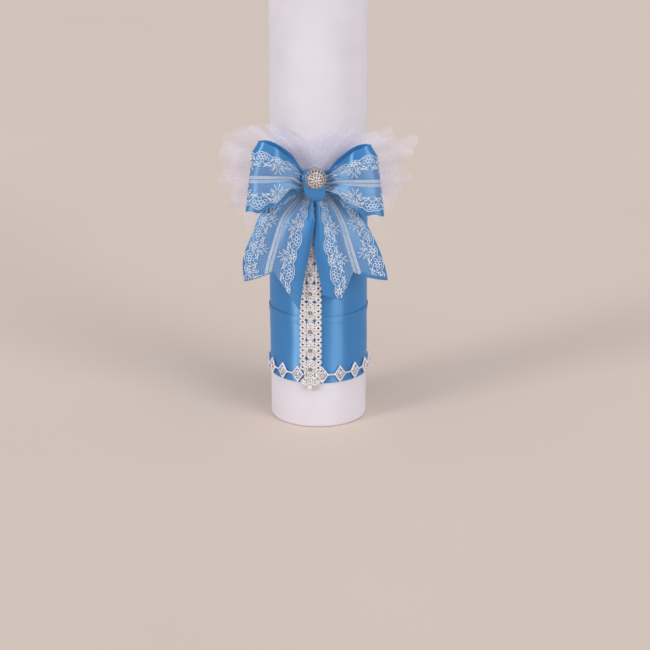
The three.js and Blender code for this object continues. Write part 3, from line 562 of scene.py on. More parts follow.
class Threadwork:
    """Cords, net and petals of one trim, laid by place(u, v, height) on its form.

    keep(u, v) says where the trim is. Without it the trim has no end.
    """

    def __init__(self, place, keep=None):
        self.place = place
        self.keep = keep
        self.parts = []

    def lay(self, u, v, height, faces):
        self.parts.append((self.place(u, v, height), faces))

    def cord(self, line, width, rise, base=0.0, closed=False):
        """A rounded cord along a flat line, cut where the trim ends."""
        if self.keep is not None:
            inside = self.keep(line[:, 0], line[:, 1])
            if not inside.all():
                edges = np.flatnonzero(np.diff(np.concatenate([[0], inside.astype(int), [0]])))
                for start, end in zip(edges[::2], edges[1::2]):
                    if end - start > 2:
                        self.run(line[start:end], width, rise, base, False)
                return
        self.run(line, width, rise, base, closed)

    def run(self, line, width, rise, base, closed):
        along = directions(line, closed)
        across = stacked(-along[:, 1], along[:, 0])
        flat = line[:, None] + across[:, None] * (CORD_ACROSS * width)[None, :, None]
        height = np.broadcast_to(base + rise * CORD_RISE, flat.shape[:2])
        faces = grid_faces(len(line), len(CORD_RISE), loop_columns=closed)
        self.lay(flat[..., 0].ravel(), flat[..., 1].ravel(), height.ravel(), faces)

    def ring(self, u, v, radius, width, rise, steps, base=0.0):
        self.cord([u, v] + circle(radius, steps), width, rise, base, closed=True)

    def petal(self, u, v, length, width, turn, rise, base=0.0):
        """A filled pad, from (u, v) outwards along turn, with a rounded crown."""
        sides = PETAL_SIDES
        angle = full_turn(sides)
        x = length / 2 * (1 + np.cos(angle))
        y = width / 2 * np.sin(angle) * (0.65 + 0.35 * x / length)
        outer = stacked(x, y)
        inner = (outer - [length / 2, 0]) * 0.55 + [length / 2, 0]
        flat = np.concatenate([outer, inner, [[length / 2, 0]]])
        cos, sin = math.cos(turn), math.sin(turn)
        pu = u + flat[:, 0] * cos - flat[:, 1] * sin
        pv = v + flat[:, 0] * sin + flat[:, 1] * cos
        if self.keep is not None and not self.keep(pu, pv).all():
            return
        height = base + rise * np.concatenate([np.zeros(sides), np.full(sides, 0.8), [1.0]])
        faces = [[k, (k + 1) % sides, sides + (k + 1) % sides, sides + k] for k in range(sides)]
        faces += [[sides + k, sides + (k + 1) % sides, 2 * sides] for k in range(sides)]
        self.lay(pu, pv, height, faces)

    def flower(self, u, v, petals, reach, width, rise, base=0.0, turn=0.0, heart=0.5):
        """Petals that start at heart from the middle and end at reach from it."""
        for k in range(petals):
            angle = turn + 2 * math.pi * k / petals
            start = (u + heart * math.cos(angle), v + heart * math.sin(angle))
            self.petal(*start, reach - heart, width, angle, rise, base)

    def bars(self, start, end, width, height):
        """Many short flat threads at once, from start to end points."""
        if self.keep is not None:
            fine = self.keep(start[:, 0], start[:, 1]) & self.keep(end[:, 0], end[:, 1])
            start, end = start[fine], end[fine]
        along = unit(end - start)
        side = stacked(-along[:, 1], along[:, 0]) * width / 2
        flat = np.stack([start - side, end - side, end, start, start + side, end + side], axis=1)
        lift = np.broadcast_to(height * BAR_RISE, flat.shape[:2])
        first = 6 * np.arange(len(start))[:, None]
        faces = np.concatenate([first + [0, 1, 2, 3], first + [3, 2, 5, 4]]).tolist()
        self.lay(flat[..., 0].ravel(), flat[..., 1].ravel(), lift.ravel(), faces)

    def net(self, low_u, high_u, low_v, high_v, pitch, width, height, shown):
        """A six-sided net. shown(u, v) says where it is."""
        rise = pitch * 0.866
        columns = np.arange(math.floor(low_u / pitch), math.ceil(high_u / pitch) + 1)
        rows = np.arange(math.floor(low_v / rise), math.ceil(high_v / rise) + 1)
        column, row = grid(columns, rows)
        u = (column + 0.5 * (row % 2)) * pitch
        v = row * rise
        size = pitch / math.sqrt(3)
        corners = []
        for angle in np.radians([0, 60, 120, 180]).tolist():
            x, y = size * math.sin(angle), size * math.cos(angle)
            corners.append(stacked(u + x, v + y).reshape(-1, 2))
        start = np.concatenate(corners[:-1])
        end = np.concatenate(corners[1:])
        middle = (start + end) / 2
        kept = shown(middle[:, 0], middle[:, 1])
        self.bars(start[kept], end[kept], width, height)

    def made(self, name, look):
        points, faces = joined(self.parts)
        return piece(name, points, faces, look)


# Lace: a net with a striped middle, and along both edges large scallops with eyelets that take
# turns with small scallops of flowers

BIG_HALF = 6.7
SMALL_HALF = LACE_REPEAT / 2 - BIG_HALF
EYELETS = (
    (0, 18.6), (-2.4, 17.9), (2.4, 17.9),
    (-3.6, 15.8), (-1.2, 16.4), (1.2, 16.4), (3.6, 15.8), (0, 14.2),
)
EYELET_RADIUS = 1.2
EYELET_WIDTH = 0.62
EYELET_ROOM = 1.7
SPRAY = (
    # along, from the middle of the lace, length, width, lean
    (1.2, 12.1, 2.4, 1.3, -0.3), (3.2, 12.5, 2.4, 1.3, 0.2), (5.3, 13.7, 2.4, 1.3, 0.8),
    (6.6, 15.3, 2.4, 1.2, 1.1), (0.9, 9.6, 3.7, 1.1, 0.5), (3.7, 10.3, 3.4, 1.1, 0.2),
    (6.5, 9.9, 3.0, 1.1, -0.5),
)
SPRIG = (
    # as for the spray
    (1.6, 13.0, 2.4, 1.3, -0.9), (2.8, 15.2, 2.2, 1.2, 0), (1.4, 9.2, 3.0, 1.1, 0.9),
    (1.0, 6.4, 2.4, 0.9, -1.1), (2.6, 7.4, 2.2, 0.9, 0.3),
)
BRANCH = ((0.6, 12.6), (3.2, 11.4), (6.2, 11.6), (8.4, 13.6))
STEM = ((0.4, 13.2), (1.3, 10.2), (0.5, 7.8), (1.8, 4.6))
BANDS = (
    # from, to, width of a thread, pitch
    (0.35, 2.5, 0.32, 0.4), (-2.45, -0.35, 0.28, 0.4),
)
STROKE_RISE = 0.3
LEAF_RISE = 0.38
LEAF_BASE = 0.05
FLOWER_AT = 16.2
FLOWER_PETALS = 7
FLOWER_REACH = 3.1


def lace_phase(u):
    """A place along the lace, from the middle of its nearest big scallop."""
    return (u + LACE_REPEAT / 2) % LACE_REPEAT - LACE_REPEAT / 2


def lace_edge(u):
    """How far from its middle the lace reaches, at a place along it."""
    phase = lace_phase(u)
    from_small = LACE_REPEAT / 2 - np.abs(phase)
    big = LACE_HALF - 0.2 - 2.9 * (phase / BIG_HALF) ** 2
    small = LACE_HALF - 1.5 - 1.6 * (from_small / SMALL_HALF) ** 2
    return np.where(np.abs(phase) < BIG_HALF, big, small)


def draw_lace(work, low, high, shift):
    """The whole lace from low to high along it, with a big scallop at shift and at each repeat."""

    def shown(u, v):
        under_eyelets = (lace_phase(u - shift) / 5.2) ** 2 + ((np.abs(v) - 16.6) / 3.6) ** 2 < 1
        return (np.abs(v) < lace_edge(u - shift) - 0.2) & ~under_eyelets & (np.abs(v) > 2.5)

    work.net(low, high, -LACE_HALF, LACE_HALF, 1.45, 0.13, 0.1, shown)
    along = np.arange(low, high, 0.7)
    straight = np.arange(low, high, 1.4)
    for start, end, width, pitch in BANDS:
        for v in np.arange(start, end, pitch):
            work.cord(stacked(straight, np.full_like(straight, v)), width, 0.16)
    first = math.floor((low - shift) / LACE_REPEAT)
    last = math.ceil((high - shift) / LACE_REPEAT)
    for side in (1, -1):
        edge = side * (lace_edge(along - shift) - 0.1)
        work.cord(stacked(along, edge), 0.65, 0.35)
        for k in range(first, last + 1):
            draw_big_scallop(work, shift + k * LACE_REPEAT, side, low, high)
            draw_small_scallop(work, shift + (k + 0.5) * LACE_REPEAT, side, low, high)


def draw_big_scallop(work, u, side, low, high):
    for x, z in EYELETS:
        if low + EYELET_ROOM < u + x < high - EYELET_ROOM:
            work.ring(u + x, side * z, EYELET_RADIUS, EYELET_WIDTH, 0.6, 11, base=-0.22)
    draw_leaves(work, u, side, SPRAY, low, high)
    draw_strokes(work, u, side, BRANCH, 0.5, low, high)


def draw_small_scallop(work, u, side, low, high):
    if low + FLOWER_REACH < u < high - FLOWER_REACH:
        v = side * FLOWER_AT
        work.flower(u, v, FLOWER_PETALS, FLOWER_REACH, 1.5, LEAF_RISE, LEAF_BASE, turn=0.3)
    draw_leaves(work, u, side, SPRIG, low, high)
    draw_strokes(work, u, side, STEM, 0.45, low, high)


def draw_leaves(work, u, side, leaves, low, high):
    """Petals given to one side of a scallop's middle, drawn to both sides of it."""
    for x, z, length, width, lean in leaves:
        for turn in (-1, 1):
            heading = side * turn * lean + (math.pi if turn < 0 else 0)
            if low + length < u + turn * x < high - length:
                work.petal(u + turn * x, side * z, length, width, heading, LEAF_RISE, LEAF_BASE)


def draw_strokes(work, u, side, points, width, low, high):
    """A cord to each side of a scallop's middle, cut at the ends of the lace."""
    for turn in (-1, 1):
        line = curved([[turn * x, z] for x, z in points], 12)
        line = stacked(u + line[:, 0], side * line[:, 1])
        line = line[(line[:, 0] > low) & (line[:, 0] < high)]
        if len(line) > 2:
            work.cord(line, width, STROKE_RISE)


# Bow: loops, whose route is drawn for a reach of ROUTE_REACH and then scaled to each loop's own

ROUTE_REACH = 46.0
LOOP_REACH = {-1: 46.0, 1: 45.3}
LOOP_LIFT = {-1: 5.2, 1: 2.5}
LOOP_SCALLOPS = {-1: -39.5, 1: 41.0}
LOOP_LACE_DROP = 1.6
LOOP_FRONT = 46.4
LOOP_BACK = 43.1
LOOP_DEPTH = 9.0
LOOP_CREASE = -0.13
WAIST_HALF_HEIGHT = 7.7
WAIST_REACH = 8.5
KNOT_WIDTH = 16.4
KNOT_X = BOW_X - 1.1
LOOP_ROUTE = np.array([
    # aside, forward
    [0, LOOP_FRONT], [9, LOOP_FRONT + 0.2], [17, LOOP_FRONT + LOOP_DEPTH * 0.46],
    [28, LOOP_FRONT + LOOP_DEPTH], [39, LOOP_FRONT + LOOP_DEPTH * 0.87],
    [45.5, LOOP_FRONT + LOOP_DEPTH * 0.42], [44, LOOP_BACK + 3.3], [34, LOOP_BACK + 2.2],
    [20, LOOP_BACK + 1.4], [9, LOOP_BACK + 0.2], [0.4, LOOP_BACK],
])
ROUTE_SHARE = np.linspace(0, 1, 401)
ROUTE_LENGTH = lengths_along(smooth_curve(LOOP_ROUTE, ROUTE_SHARE)[0])
LOOP_LENGTH = ROUTE_LENGTH[-1]


def loop_half_height(distance):
    opening = np.clip((distance - WAIST_REACH) / 32, 0, 1)
    return WAIST_HALF_HEIGHT + (RIBBON_WIDTH / 2 - WAIST_HALF_HEIGHT) * np.sin(opening * math.pi / 2)


def loop_fold(row, distance):
    """Two full folds with a crease between them and fine gathers at the waist, outwards."""
    above = (row - LOOP_CREASE) / (1 - LOOP_CREASE)
    below = (LOOP_CREASE - row) / (1 + LOOP_CREASE)
    share = np.maximum(above, below)
    depth = smoothstep(WAIST_REACH, 15, distance) * (1 - 0.75 * smoothstep(24, 46, distance))
    gathers = 0.7 * np.cos(6 * math.pi * row) * (1 - smoothstep(9, 22, distance))
    return depth * (3.4 * np.sin(math.pi * share**0.75) - 1.7) + gathers


def loop_edge(side, row, distance):
    """How far the long edges of the front of a loop wander from their straight lines, upwards."""
    drawn_in = smoothstep(10, 18, distance) * (1 - smoothstep(34, 44, distance))
    curl = np.where(side < 0, 5.5, 2.5) * np.exp(-(((distance - 15) / 6) ** 2))
    wave = np.sin(2 * math.pi * distance / 13 + side) * smoothstep(WAIST_REACH, 15, distance)
    top = -2.4 * smoothstep(0.45, 1, row) * drawn_in
    return top + curl * smoothstep(0.35, 1, -row) + wave * smoothstep(0.6, 1, -row)


def loop_points(along, row, offset):
    """A point of the bow's loops: along from the middle of the front, negative to the left."""
    along, row, offset = np.broadcast_arrays(along, row, offset)
    side = np.where(along < 0, -1, 1)
    share = np.interp(np.abs(along), ROUTE_LENGTH, ROUTE_SHARE)
    route, heading = smooth_curve(LOOP_ROUTE, share)
    heading = unit(heading)
    front = 1 - smoothstep(0.42, 0.55, share)
    out = offset + loop_fold(row, route[..., 0]) * front
    distance = route[..., 0] - heading[..., 1] * out
    forward = route[..., 1] + heading[..., 0] * out
    reach = np.where(side < 0, LOOP_REACH[-1], LOOP_REACH[1]) / ROUTE_REACH * distance
    slant = (3.0 * row + 3.3 * smoothstep(0.65, 1, row)) * (route[..., 0] / ROUTE_REACH) ** 2
    lift = np.where(side < 0, LOOP_LIFT[-1], LOOP_LIFT[1]) * smoothstep(WAIST_REACH, 18, route[..., 0])
    rise = 0.27 * np.maximum(0, route[..., 1] - LOOP_FRONT - LOOP_DEPTH * 0.4)
    z = BOW_HEIGHT + lift + rise + row * loop_half_height(route[..., 0])
    z = z + front * loop_edge(side, row, route[..., 0])
    return stacked(BOW_X + side * (reach - slant), -forward, z)


def make_loops():
    along = np.concatenate([np.linspace(-LOOP_LENGTH, 0, 150), np.linspace(0, LOOP_LENGTH, 150)[1:]])
    a, r = grid(along, np.linspace(-1, 1, 73))
    made = cloth("bow_loops", loop_points(a, r, 0.0), satin, r * RIBBON_WIDTH / 2, a)
    thicken(made, 0.2, 0)
    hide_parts("loop_satin")

    def place(u, v, height):
        dropped = v - LOOP_LACE_DROP * smoothstep(WAIST_REACH, 18, np.abs(u))
        return loop_points(u, dropped * 2 / RIBBON_WIDTH, LACE_GAP + height)

    work = Threadwork(place)
    draw_lace(work, -LOOP_LENGTH + 1, 0, LOOP_SCALLOPS[-1])
    draw_lace(work, 0, LOOP_LENGTH - 1, LOOP_SCALLOPS[1])
    made = work.made("loop_lace_net", lace_thread)
    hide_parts("loop_lace")


# Bow: tails

TAIL_FORWARD = 39.2
TAIL_STATIONS = np.array([
    # aside, drop, turn, spread, outer edge, inner edge, bulge
    [-0.614, 1.678, 151.4, 0.89, 0.4, 1.8, 5.5],
    [-0.592, 1.319, 157.1, 0.912, 0.4, 1.8, 6.0],
    [-0.486, 0.894, 167.8, 0.84, 0.6, 1.4, 5.0],
    [-0.367, 0.524, 168.1, 0.741, 0.8, 0.9, 1.6],
    [-0.157, 0.237, 135.2, 0.365, 0.2, 0.2, 0.2],
    [-0.02, 0.04, 90, 0.4, 0, 0, 0],
    [0.148, 0.237, 38.5, 0.38, 0.2, 0.2, 0.2],
    [0.304, 0.559, 13.6, 0.655, 0.8, 0.9, 1.6],
    [0.403, 0.933, 13.2, 0.865, 0.6, 1.4, 5.0],
    [0.512, 1.319, 15.4, 0.93, 0.4, 1.8, 6.0],
    [0.568, 1.63, 20.7, 0.96, 0.4, 1.8, 5.5],
])
TAIL_CUTS = {
    # rows across, and how many stations short of the end the ribbon is cut there
    -1: ((-1, 0, 1), (0, 1.1, 0)),
    1: ((-1, -0.45, 0.04, 1), (0.41, 0, 1.08, 0.05)),
}
TAIL_SCALLOPS = {-1: 1.0, 1: 161.0}
TAIL_SATIN_SHOWS = 2.4
TAIL_LAST = len(TAIL_STATIONS) - 1
STATION = np.linspace(0, TAIL_LAST, 401)
STATION_LENGTH = lengths_along(smooth_curve(TAIL_STATIONS, STATION / TAIL_LAST)[0][:, :2] * RIBBON_WIDTH)
TAIL_LENGTH = STATION_LENGTH[-1]


def tail_limits(row):
    """The first and last place along the tails at a row across them, where they are cut."""
    start = np.interp(np.interp(row, *TAIL_CUTS[-1]), STATION, STATION_LENGTH)
    end = np.interp(TAIL_LAST - np.interp(row, *TAIL_CUTS[1]), STATION, STATION_LENGTH)
    return start, end


def tail_fold(station, row):
    """Folds that run down from the knot and die out, in millimetres forward."""
    below = np.abs(station - 5)
    near = smoothstep(0.4, 1.2, below) * (1 - smoothstep(2.4, 5, below))
    side = np.where(station < 5, -1, 1)
    ripples = 1.5 * np.sin(2.6 * math.pi * row * side + 0.8) + 0.5 * np.cos(5 * math.pi * row)
    return near * ripples


def tail_points(along, row, offset):
    """A point of the tails: along them from the cut end of the left one, row from -1 to 1 across."""
    along, row, offset = np.broadcast_arrays(along, row, offset)
    station = np.interp(along, STATION_LENGTH, STATION)
    at = smooth_curve(TAIL_STATIONS, station / TAIL_LAST)[0]
    turn = np.radians(at[..., 2])
    reach = row * at[..., 3] * RIBBON_WIDTH / 2
    edge = at[..., 5] + (at[..., 4] - at[..., 5]) * (row + 1) / 2
    forward = TAIL_FORWARD + offset + edge + at[..., 6] * (1 - row * row) + tail_fold(station, row)
    return stacked(
        BOW_X + at[..., 0] * RIBBON_WIDTH + reach * np.cos(turn),
        -forward,
        BOW_HEIGHT - at[..., 1] * RIBBON_WIDTH + reach * np.sin(turn),
    )


def make_tails():
    s, r = grid(np.linspace(0, 1, 221), np.linspace(-1, 1, 49))
    start, end = tail_limits(r)
    along = start + (end - start) * s
    made = cloth("bow_tails", tail_points(along, r, 0.0), satin, r * RIBBON_WIDTH / 2, along)
    thicken(made, 0.2, 0)
    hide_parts("tail_satin")

    shift = RIBBON_WIDTH / 12

    def keep(u, v):
        low, high = tail_limits((v + shift) * 2 / RIBBON_WIDTH)
        short = 0.2 + TAIL_SATIN_SHOWS * smoothstep(0, 4, v)
        return (u > low + 0.2) & (u < high - short)

    def place(u, v, height):
        return tail_points(u, (v + shift) * 2 / RIBBON_WIDTH, LACE_GAP + height)

    work = Threadwork(place, keep)
    draw_lace(work, 0, TAIL_LENGTH / 2, TAIL_SCALLOPS[-1])
    draw_lace(work, TAIL_LENGTH / 2, TAIL_LENGTH, TAIL_SCALLOPS[1])
    made = work.made("tail_lace_net", lace_thread)
    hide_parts("tail_lace")


# Knot and thread

KNOT_BACK = 40.6
KNOT_FRONT = 50.7
KNOT_LOW = BOW_HEIGHT - 12.4
KNOT_HIGH = BOW_HEIGHT + 8.6
THREAD_TURNS = 4
THREAD_REACH = 8.4


def rounded_ring(back, front, bottom, top, corner, low_corner, steps):
    """A closed rounded outline in (forward, height), with its outward angle at each point."""
    points = []
    for y, z, radius, start in (
        (front - low_corner, bottom + low_corner, low_corner, -math.pi / 2),
        (front - corner, top - corner, corner, 0),
        (back + corner, top - corner, corner, math.pi / 2),
        (back + corner, bottom + corner, corner, math.pi),
    ):
        for angle in start + np.linspace(0, math.pi / 2, steps):
            points.append([y + radius * math.cos(angle), z + radius * math.sin(angle), angle])
    return np.array(points)


def make_knot():
    ring = rounded_ring(KNOT_BACK, KNOT_FRONT, KNOT_LOW, KNOT_HIGH, 3.0, 5.0, 9)
    index, r = grid(np.arange(len(ring)), np.linspace(-1, 1, 41))
    y, z, angle = (ring[index][..., k] for k in range(3))
    low = 1 - smoothstep(KNOT_LOW, BOW_HEIGHT - 4, z)
    pleat = 0.7 * (1 - r**4) - 0.25 * np.exp(-(((r + 0.45) / 0.12) ** 2))
    x = KNOT_X + 2.8 * low + r * KNOT_WIDTH / 2 * (1 - 0.58 * low**1.5)
    droop = 1.8 * np.abs(r) ** 3 * smoothstep(BOW_HEIGHT + 3, BOW_HEIGHT + 9, z)
    points = stacked(x, -(y + pleat * np.cos(angle)), z - droop + pleat * np.sin(angle))
    made = cloth("bow_knot", points, satin, r * KNOT_WIDTH / 2, index * 1.5, loop_columns=True)
    thicken(made, 0.25, 0)
    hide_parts("knot_band")


def make_thread():
    ring = rounded_ring(41.5, 49.8, BOW_HEIGHT - THREAD_REACH, BOW_HEIGHT + THREAD_REACH, 1.9, 1.6, 5)
    count = THREAD_TURNS * len(ring)
    path = []
    for k in range(count):
        y, z, _ = ring[k % len(ring)]
        path.append([BOW_X - 0.9 + 1.8 * k / count, -y, z])
    points, faces = tube(path, 0.22)
    made = piece("tied_thread", points, faces, cotton)
    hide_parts("waist_thread")


# Tulle

TULLE_HEIGHT = BOW_HEIGHT + 4
TULLE_REACH = 72.0
TULLE_HOLE = 5.0
TULLE_PLEAT = 2.8
TULLE_GATHER = 0.35
PAD_REACH = 7.0
TULLE_RIM = np.array([
    # degrees from +X, reach
    (-44, 58), (-42, 60), (-36, 56), (-31, 59), (-26, 62), (-20, 60), (-15, 61), (-10, 67), (-4, 70),
    (3, 58), (9, 64), (14, 74), (17.7, 76), (20, 71), (24, 61), (28, 60), (31, 62), (34, 50), (40, 45),
    (46, 43), (59, 38), (73, 33), (81, 29), (90, 25), (98, 24), (113, 27), (121, 34), (128, 40),
    (132, 42), (134, 49), (138, 54), (143, 52), (147, 61), (153, 63), (159, 70), (165, 68), (170, 70),
    (177, 66), (182, 66), (186, 70), (193, 67), (199, 62), (203, 68), (213, 62), (223, 66),
], float)
TULLE_LAYERS = (
    # node, middle forward, start, ridges, size, rim turn, sweep, lean, seed
    ("tulle_back", 37.35, -42, 15, 1.0, 0, 16, 0.0, 0.3),
    ("tulle_middle", 37.95, -27, 13, 0.93, 5, 10, 0.8, 1.7),
    ("tulle_front", 38.55, -31, 12, 0.86, -6, 4, 1.6, 3.1),
)


def make_tulle(node, middle, start, ridges, size, rim_turn, sweep, lean, seed):
    columns = 14 * ridges + 1
    degrees = np.linspace(start, 180 - start, columns)
    d, s = grid(degrees, np.linspace(0, 1, 44))
    phase = (d - start) / (180 - 2 * start) * 2 * math.pi * ridges
    uneven = phase + 0.9 * np.sin(phase / 3.3 + seed) + 0.5 * np.sin(phase / 1.7 - seed)
    rim = size * np.interp(d + rim_turn, TULLE_RIM[:, 0], TULLE_RIM[:, 1]) + 0.7 * np.sin(uneven)
    radius = TULLE_HOLE + (rim - TULLE_HOLE) * s
    angle = np.radians(d)
    x = radius * np.cos(angle)
    sideways = (np.maximum(0, np.abs(x) - PAD_REACH) / (TULLE_REACH - PAD_REACH)) ** 1.5
    outwards = (radius / TULLE_REACH) ** 1.5
    pleat = np.cos(uneven) * (TULLE_PLEAT * sideways + TULLE_GATHER * outwards)
    crumple = 0.7 * outwards * np.sin(1.9 * uneven + seed + 5 * s) * sideways**0.5
    forward = middle - sweep * sideways + lean * outwards + pleat + crumple
    points = stacked(BOW_X + x, -forward, TULLE_HEIGHT + radius * np.sin(angle))
    made = cloth(node.replace("tulle_", "tulle_fan_"), points, tulle, d + 400 * seed, radius)
    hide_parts(node)


for layer in TULLE_LAYERS:
    make_tulle(*layer)
make_tails()
make_loops()
make_knot()
make_thread()

# The glue pad keeps its solid, with a material of its own
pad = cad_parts["glue_pad"]
pad.data.materials.clear()
pad.data.materials.append(glue)


# Stones

STONE_SIDES = 8


def cut_stone(radius, proud):
    """A faceted stone on -Y, with a table, two rows of facets, a girdle and a point behind."""
    sides = STONE_SIDES
    half = math.pi / sides
    rings = [
        (radius * 0.5, proud, half),
        (radius * 0.78, proud * 0.72, 0),
        (radius, 0.42, half),
        (radius, 0.25, half),
        (radius * 0.45, -0.35, 0),
    ]
    points = [[0, -proud, 0]]
    for r, height, start in rings:
        points += [[r * math.sin(start + a), -height, r * math.cos(start + a)] for a in full_turn(sides)]
    points.append([0, 0.6, 0])
    faces = [[0, 1 + k, 1 + (k + 1) % sides] for k in range(sides)]
    for ring in range(len(rings) - 1):
        a, b = 1 + ring * sides, 1 + (ring + 1) * sides
        start, next_start = rings[ring][2], rings[ring + 1][2]
        for k in range(sides):
            n = (k + 1) % sides
            if start == next_start:
                faces.append([a + k, b + k, b + n, a + n])
            elif start == 0:
                faces += [[a + k, b + k, a + n], [a + n, b + k, b + n]]
            else:
                faces += [[a + k, b + n, a + n], [a + k, b + k, b + n]]
    last = 1 + (len(rings) - 1) * sides
    faces += [[last + k, len(points) - 1, last + (k + 1) % sides] for k in range(sides)]
    return np.array(points), faces


def set_stone(name, node, look, cut, at):
    """A stone of a cut (radius, how far it stands out) at (radius, angle, height) on the candle."""
    points, faces = cut_stone(*cut)
    made = piece(name, turned(points, at[1]) + around(*at), faces, look, smooth=False)
    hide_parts(node)


# Braid down the front

BRAID_TIP_CORNERS = (
    # down from the foot, across
    (0, 4.3), (2.6, 4.6), (3.6, 6.1), (4.8, 6.9), (6.2, 6.1), (7.2, 4.4), (10.2, 1.9), (11.5, 0),
)
BRAID_OUTLINE = np.array(BRAID_TIP_CORNERS).T
BRAID_HOLE = (8.2, 3.0)
BRAID_NET_HALF = 7
BRAID_TIP_REACH = 11
BRAID_RINGS = (
    # aside, radius, width, rise, steps
    (5.7, 1.3, 1.1, 1.05, 14), (6.05, 1.65, 1.0, 1.2, 16),
)
BRAID_TIP_PETALS = (
    # down from the foot, aside, length, width, turn, rise
    (4.7, 3.3, 3.6, 2.4, math.pi / 2, 1.2), (1.0, 0.9, 3.6, 1.6, 2.3, 1.15),
    (1.6, 2.8, 2.6, 1.3, 2.8, 1.1),
)
BRAID_CUT = (1.35, 1.0)
PEARL_RADIUS = 2.0
PEARL_OUT = 40.05
PIN_RADIUS = 0.5


def braid_ground(u, v):
    """Where the ground net of the braid is: inside its outline and off its larger holes."""
    reach = np.interp(BRAID_FOOT - u, *BRAID_OUTLINE) - 0.3
    phase = (u - BRAID_FIRST_STONE - BRAID_HOLE[0]) % BRAID_PITCH
    phase = np.minimum(phase, BRAID_PITCH - phase)
    hole = (phase / 1.6) ** 2 + ((np.abs(v) - BRAID_HOLE[1]) / 1.0) ** 2 < 1
    return (np.abs(v) < reach) & ~(hole & (u > BRAID_FOOT))


def make_braid():
    top = BRAID_FOOT + BRAID_MOTIFS * BRAID_PITCH

    def place(u, v, height):
        return around(BRAID_BACK + height, BRAID_ANGLE + v / BRAID_BACK, u)

    work = Threadwork(place)
    low = BRAID_FOOT - BRAID_TIP_REACH
    work.net(low, top, -BRAID_NET_HALF, BRAID_NET_HALF, 1.75, 0.95, 0.6, braid_ground)
    first = BRAID_FOOT + 6.0
    for side in (1, -1):
        rail = np.arange(BRAID_FOOT + 0.5, top, 0.5)
        wave = 4.5 - 0.3 * np.cos(2 * math.pi * (rail - first) / BRAID_SCALLOP_PITCH)
        work.cord(stacked(rail, side * wave), 1.15, 0.95)
        for scallop in np.arange(first, top, BRAID_SCALLOP_PITCH):
            for aside, *ring in BRAID_RINGS:
                work.ring(scallop, side * aside, *ring)
    for k in range(BRAID_MOTIFS):
        stone_height = BRAID_FIRST_STONE + k * BRAID_PITCH
        between = stone_height + BRAID_PITCH / 2
        work.ring(stone_height, 0, 1.95, 1.1, 1.5, 24)
        work.flower(stone_height, 0, 8, 4.6, 1.9, 1.25, turn=math.pi / 8, heart=2.2)
        work.flower(between, 0, 2, 3.0, 2.2, 1.25, heart=0.1)
        for turn in (1, -1):
            work.flower(between, 0, 2, 3.9, 1.3, 1.15, turn=turn * 0.62, heart=0.6)
    tip = [[BRAID_FOOT - down, across] for down, across in BRAID_TIP_CORNERS]
    tip += [[u, -v] for u, v in tip[-2::-1]]
    work.cord(curved(tip, 60), 0.9, 1.15)
    for side in (1, -1):
        for down, aside, length, width, turn, rise in BRAID_TIP_PETALS:
            work.petal(BRAID_FOOT - down, side * aside, length, width, side * turn, rise)
    work.ring(BRAID_FOOT - 4.7, 0, 1.1, 0.9, 1.1, 12)
    work.ring(PEARL_HEIGHT, 0, 2.1, 1.0, 1.0, 18)
    work.flower(PEARL_HEIGHT, 0, 9, 3.5, 1.5, 1.05, heart=2.0)
    made = work.made("openwork_braid", braid_thread)
    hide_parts("front_braid")
    for k in range(BRAID_MOTIFS):
        at = (BRAID_BACK + 1.0, BRAID_ANGLE, BRAID_FIRST_STONE + k * BRAID_PITCH)
        set_stone(f"braid_crystal_{k + 1}", f"braid_stone_{k + 1}", crystal, BRAID_CUT, at)


def make_pearl():
    """A pearl on a pin, turned about +Z and then laid along -Y."""
    profile = [[0, 23.2], [PIN_RADIUS, 25]]
    for angle in np.linspace(math.asin(PIN_RADIUS / PEARL_RADIUS), math.pi, 16):
        profile.append([PEARL_RADIUS * math.sin(angle), PEARL_OUT - PEARL_RADIUS * math.cos(angle)])
    points, faces = lathe(profile, 24)
    x, y, out = points.T
    points = turned(stacked(x, -out, PEARL_HEIGHT + y), BRAID_ANGLE)
    made = piece("pearl_head", points, faces, pearl)
    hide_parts("pearl_pin")


make_braid()
make_pearl()


# Chain of lozenges

FRAME_HALF = LOZENGE_WIDTH / 2 - 0.6
FRAME_TALL = LOZENGE_HEIGHT / 2 - 0.75
SEAT_RADIUS = 2.05
CHAIN_CUT = (1.75, 1.3)


def on_lozenge(flat, depth, angle):
    """Points from a flat (across, up) drawing, laid on the lozenge at an angle round the candle."""
    flat = np.asarray(flat, float)
    centre = around(CHAIN_BACK + depth, angle, CHAIN_HEIGHT)
    return centre + flat[:, :1] * [[math.cos(angle), math.sin(angle), 0]] + flat[:, 1:] * [[0, 0, 1.0]]


def lozenge_parts(angle):
    corners = np.array([[0, -FRAME_TALL], [FRAME_HALF, 0], [0, FRAME_TALL], [-FRAME_HALF, 0]])
    edges = list(zip(corners, np.roll(corners, -1, axis=0)))
    frame_line = np.concatenate([np.linspace(start, end, 7)[:-1] for start, end in edges])
    parts = [tube(on_lozenge(frame_line, 0.75, angle), 0.66, closed=True)]
    for start, end in edges:
        for share in (0.25, 0.5, 0.75):
            spot = start + (end - start) * share
            parts.append(ball(on_lozenge([spot], 1.1, angle)[0], 0.8))
    for spot in corners:
        parts.append(ball(on_lozenge([spot], 1.0, angle)[0], 0.86))
    parts.append(tube(on_lozenge(circle(SEAT_RADIUS, 20), 0.9, angle), 0.6, closed=True))
    for spot in corners[[2, 0, 1, 3]]:
        spoke = np.linspace(np.sign(spot) * 2.1, spot, 4)
        parts.append(tube(on_lozenge(spoke, 0.7, angle), 0.34))
    return parts


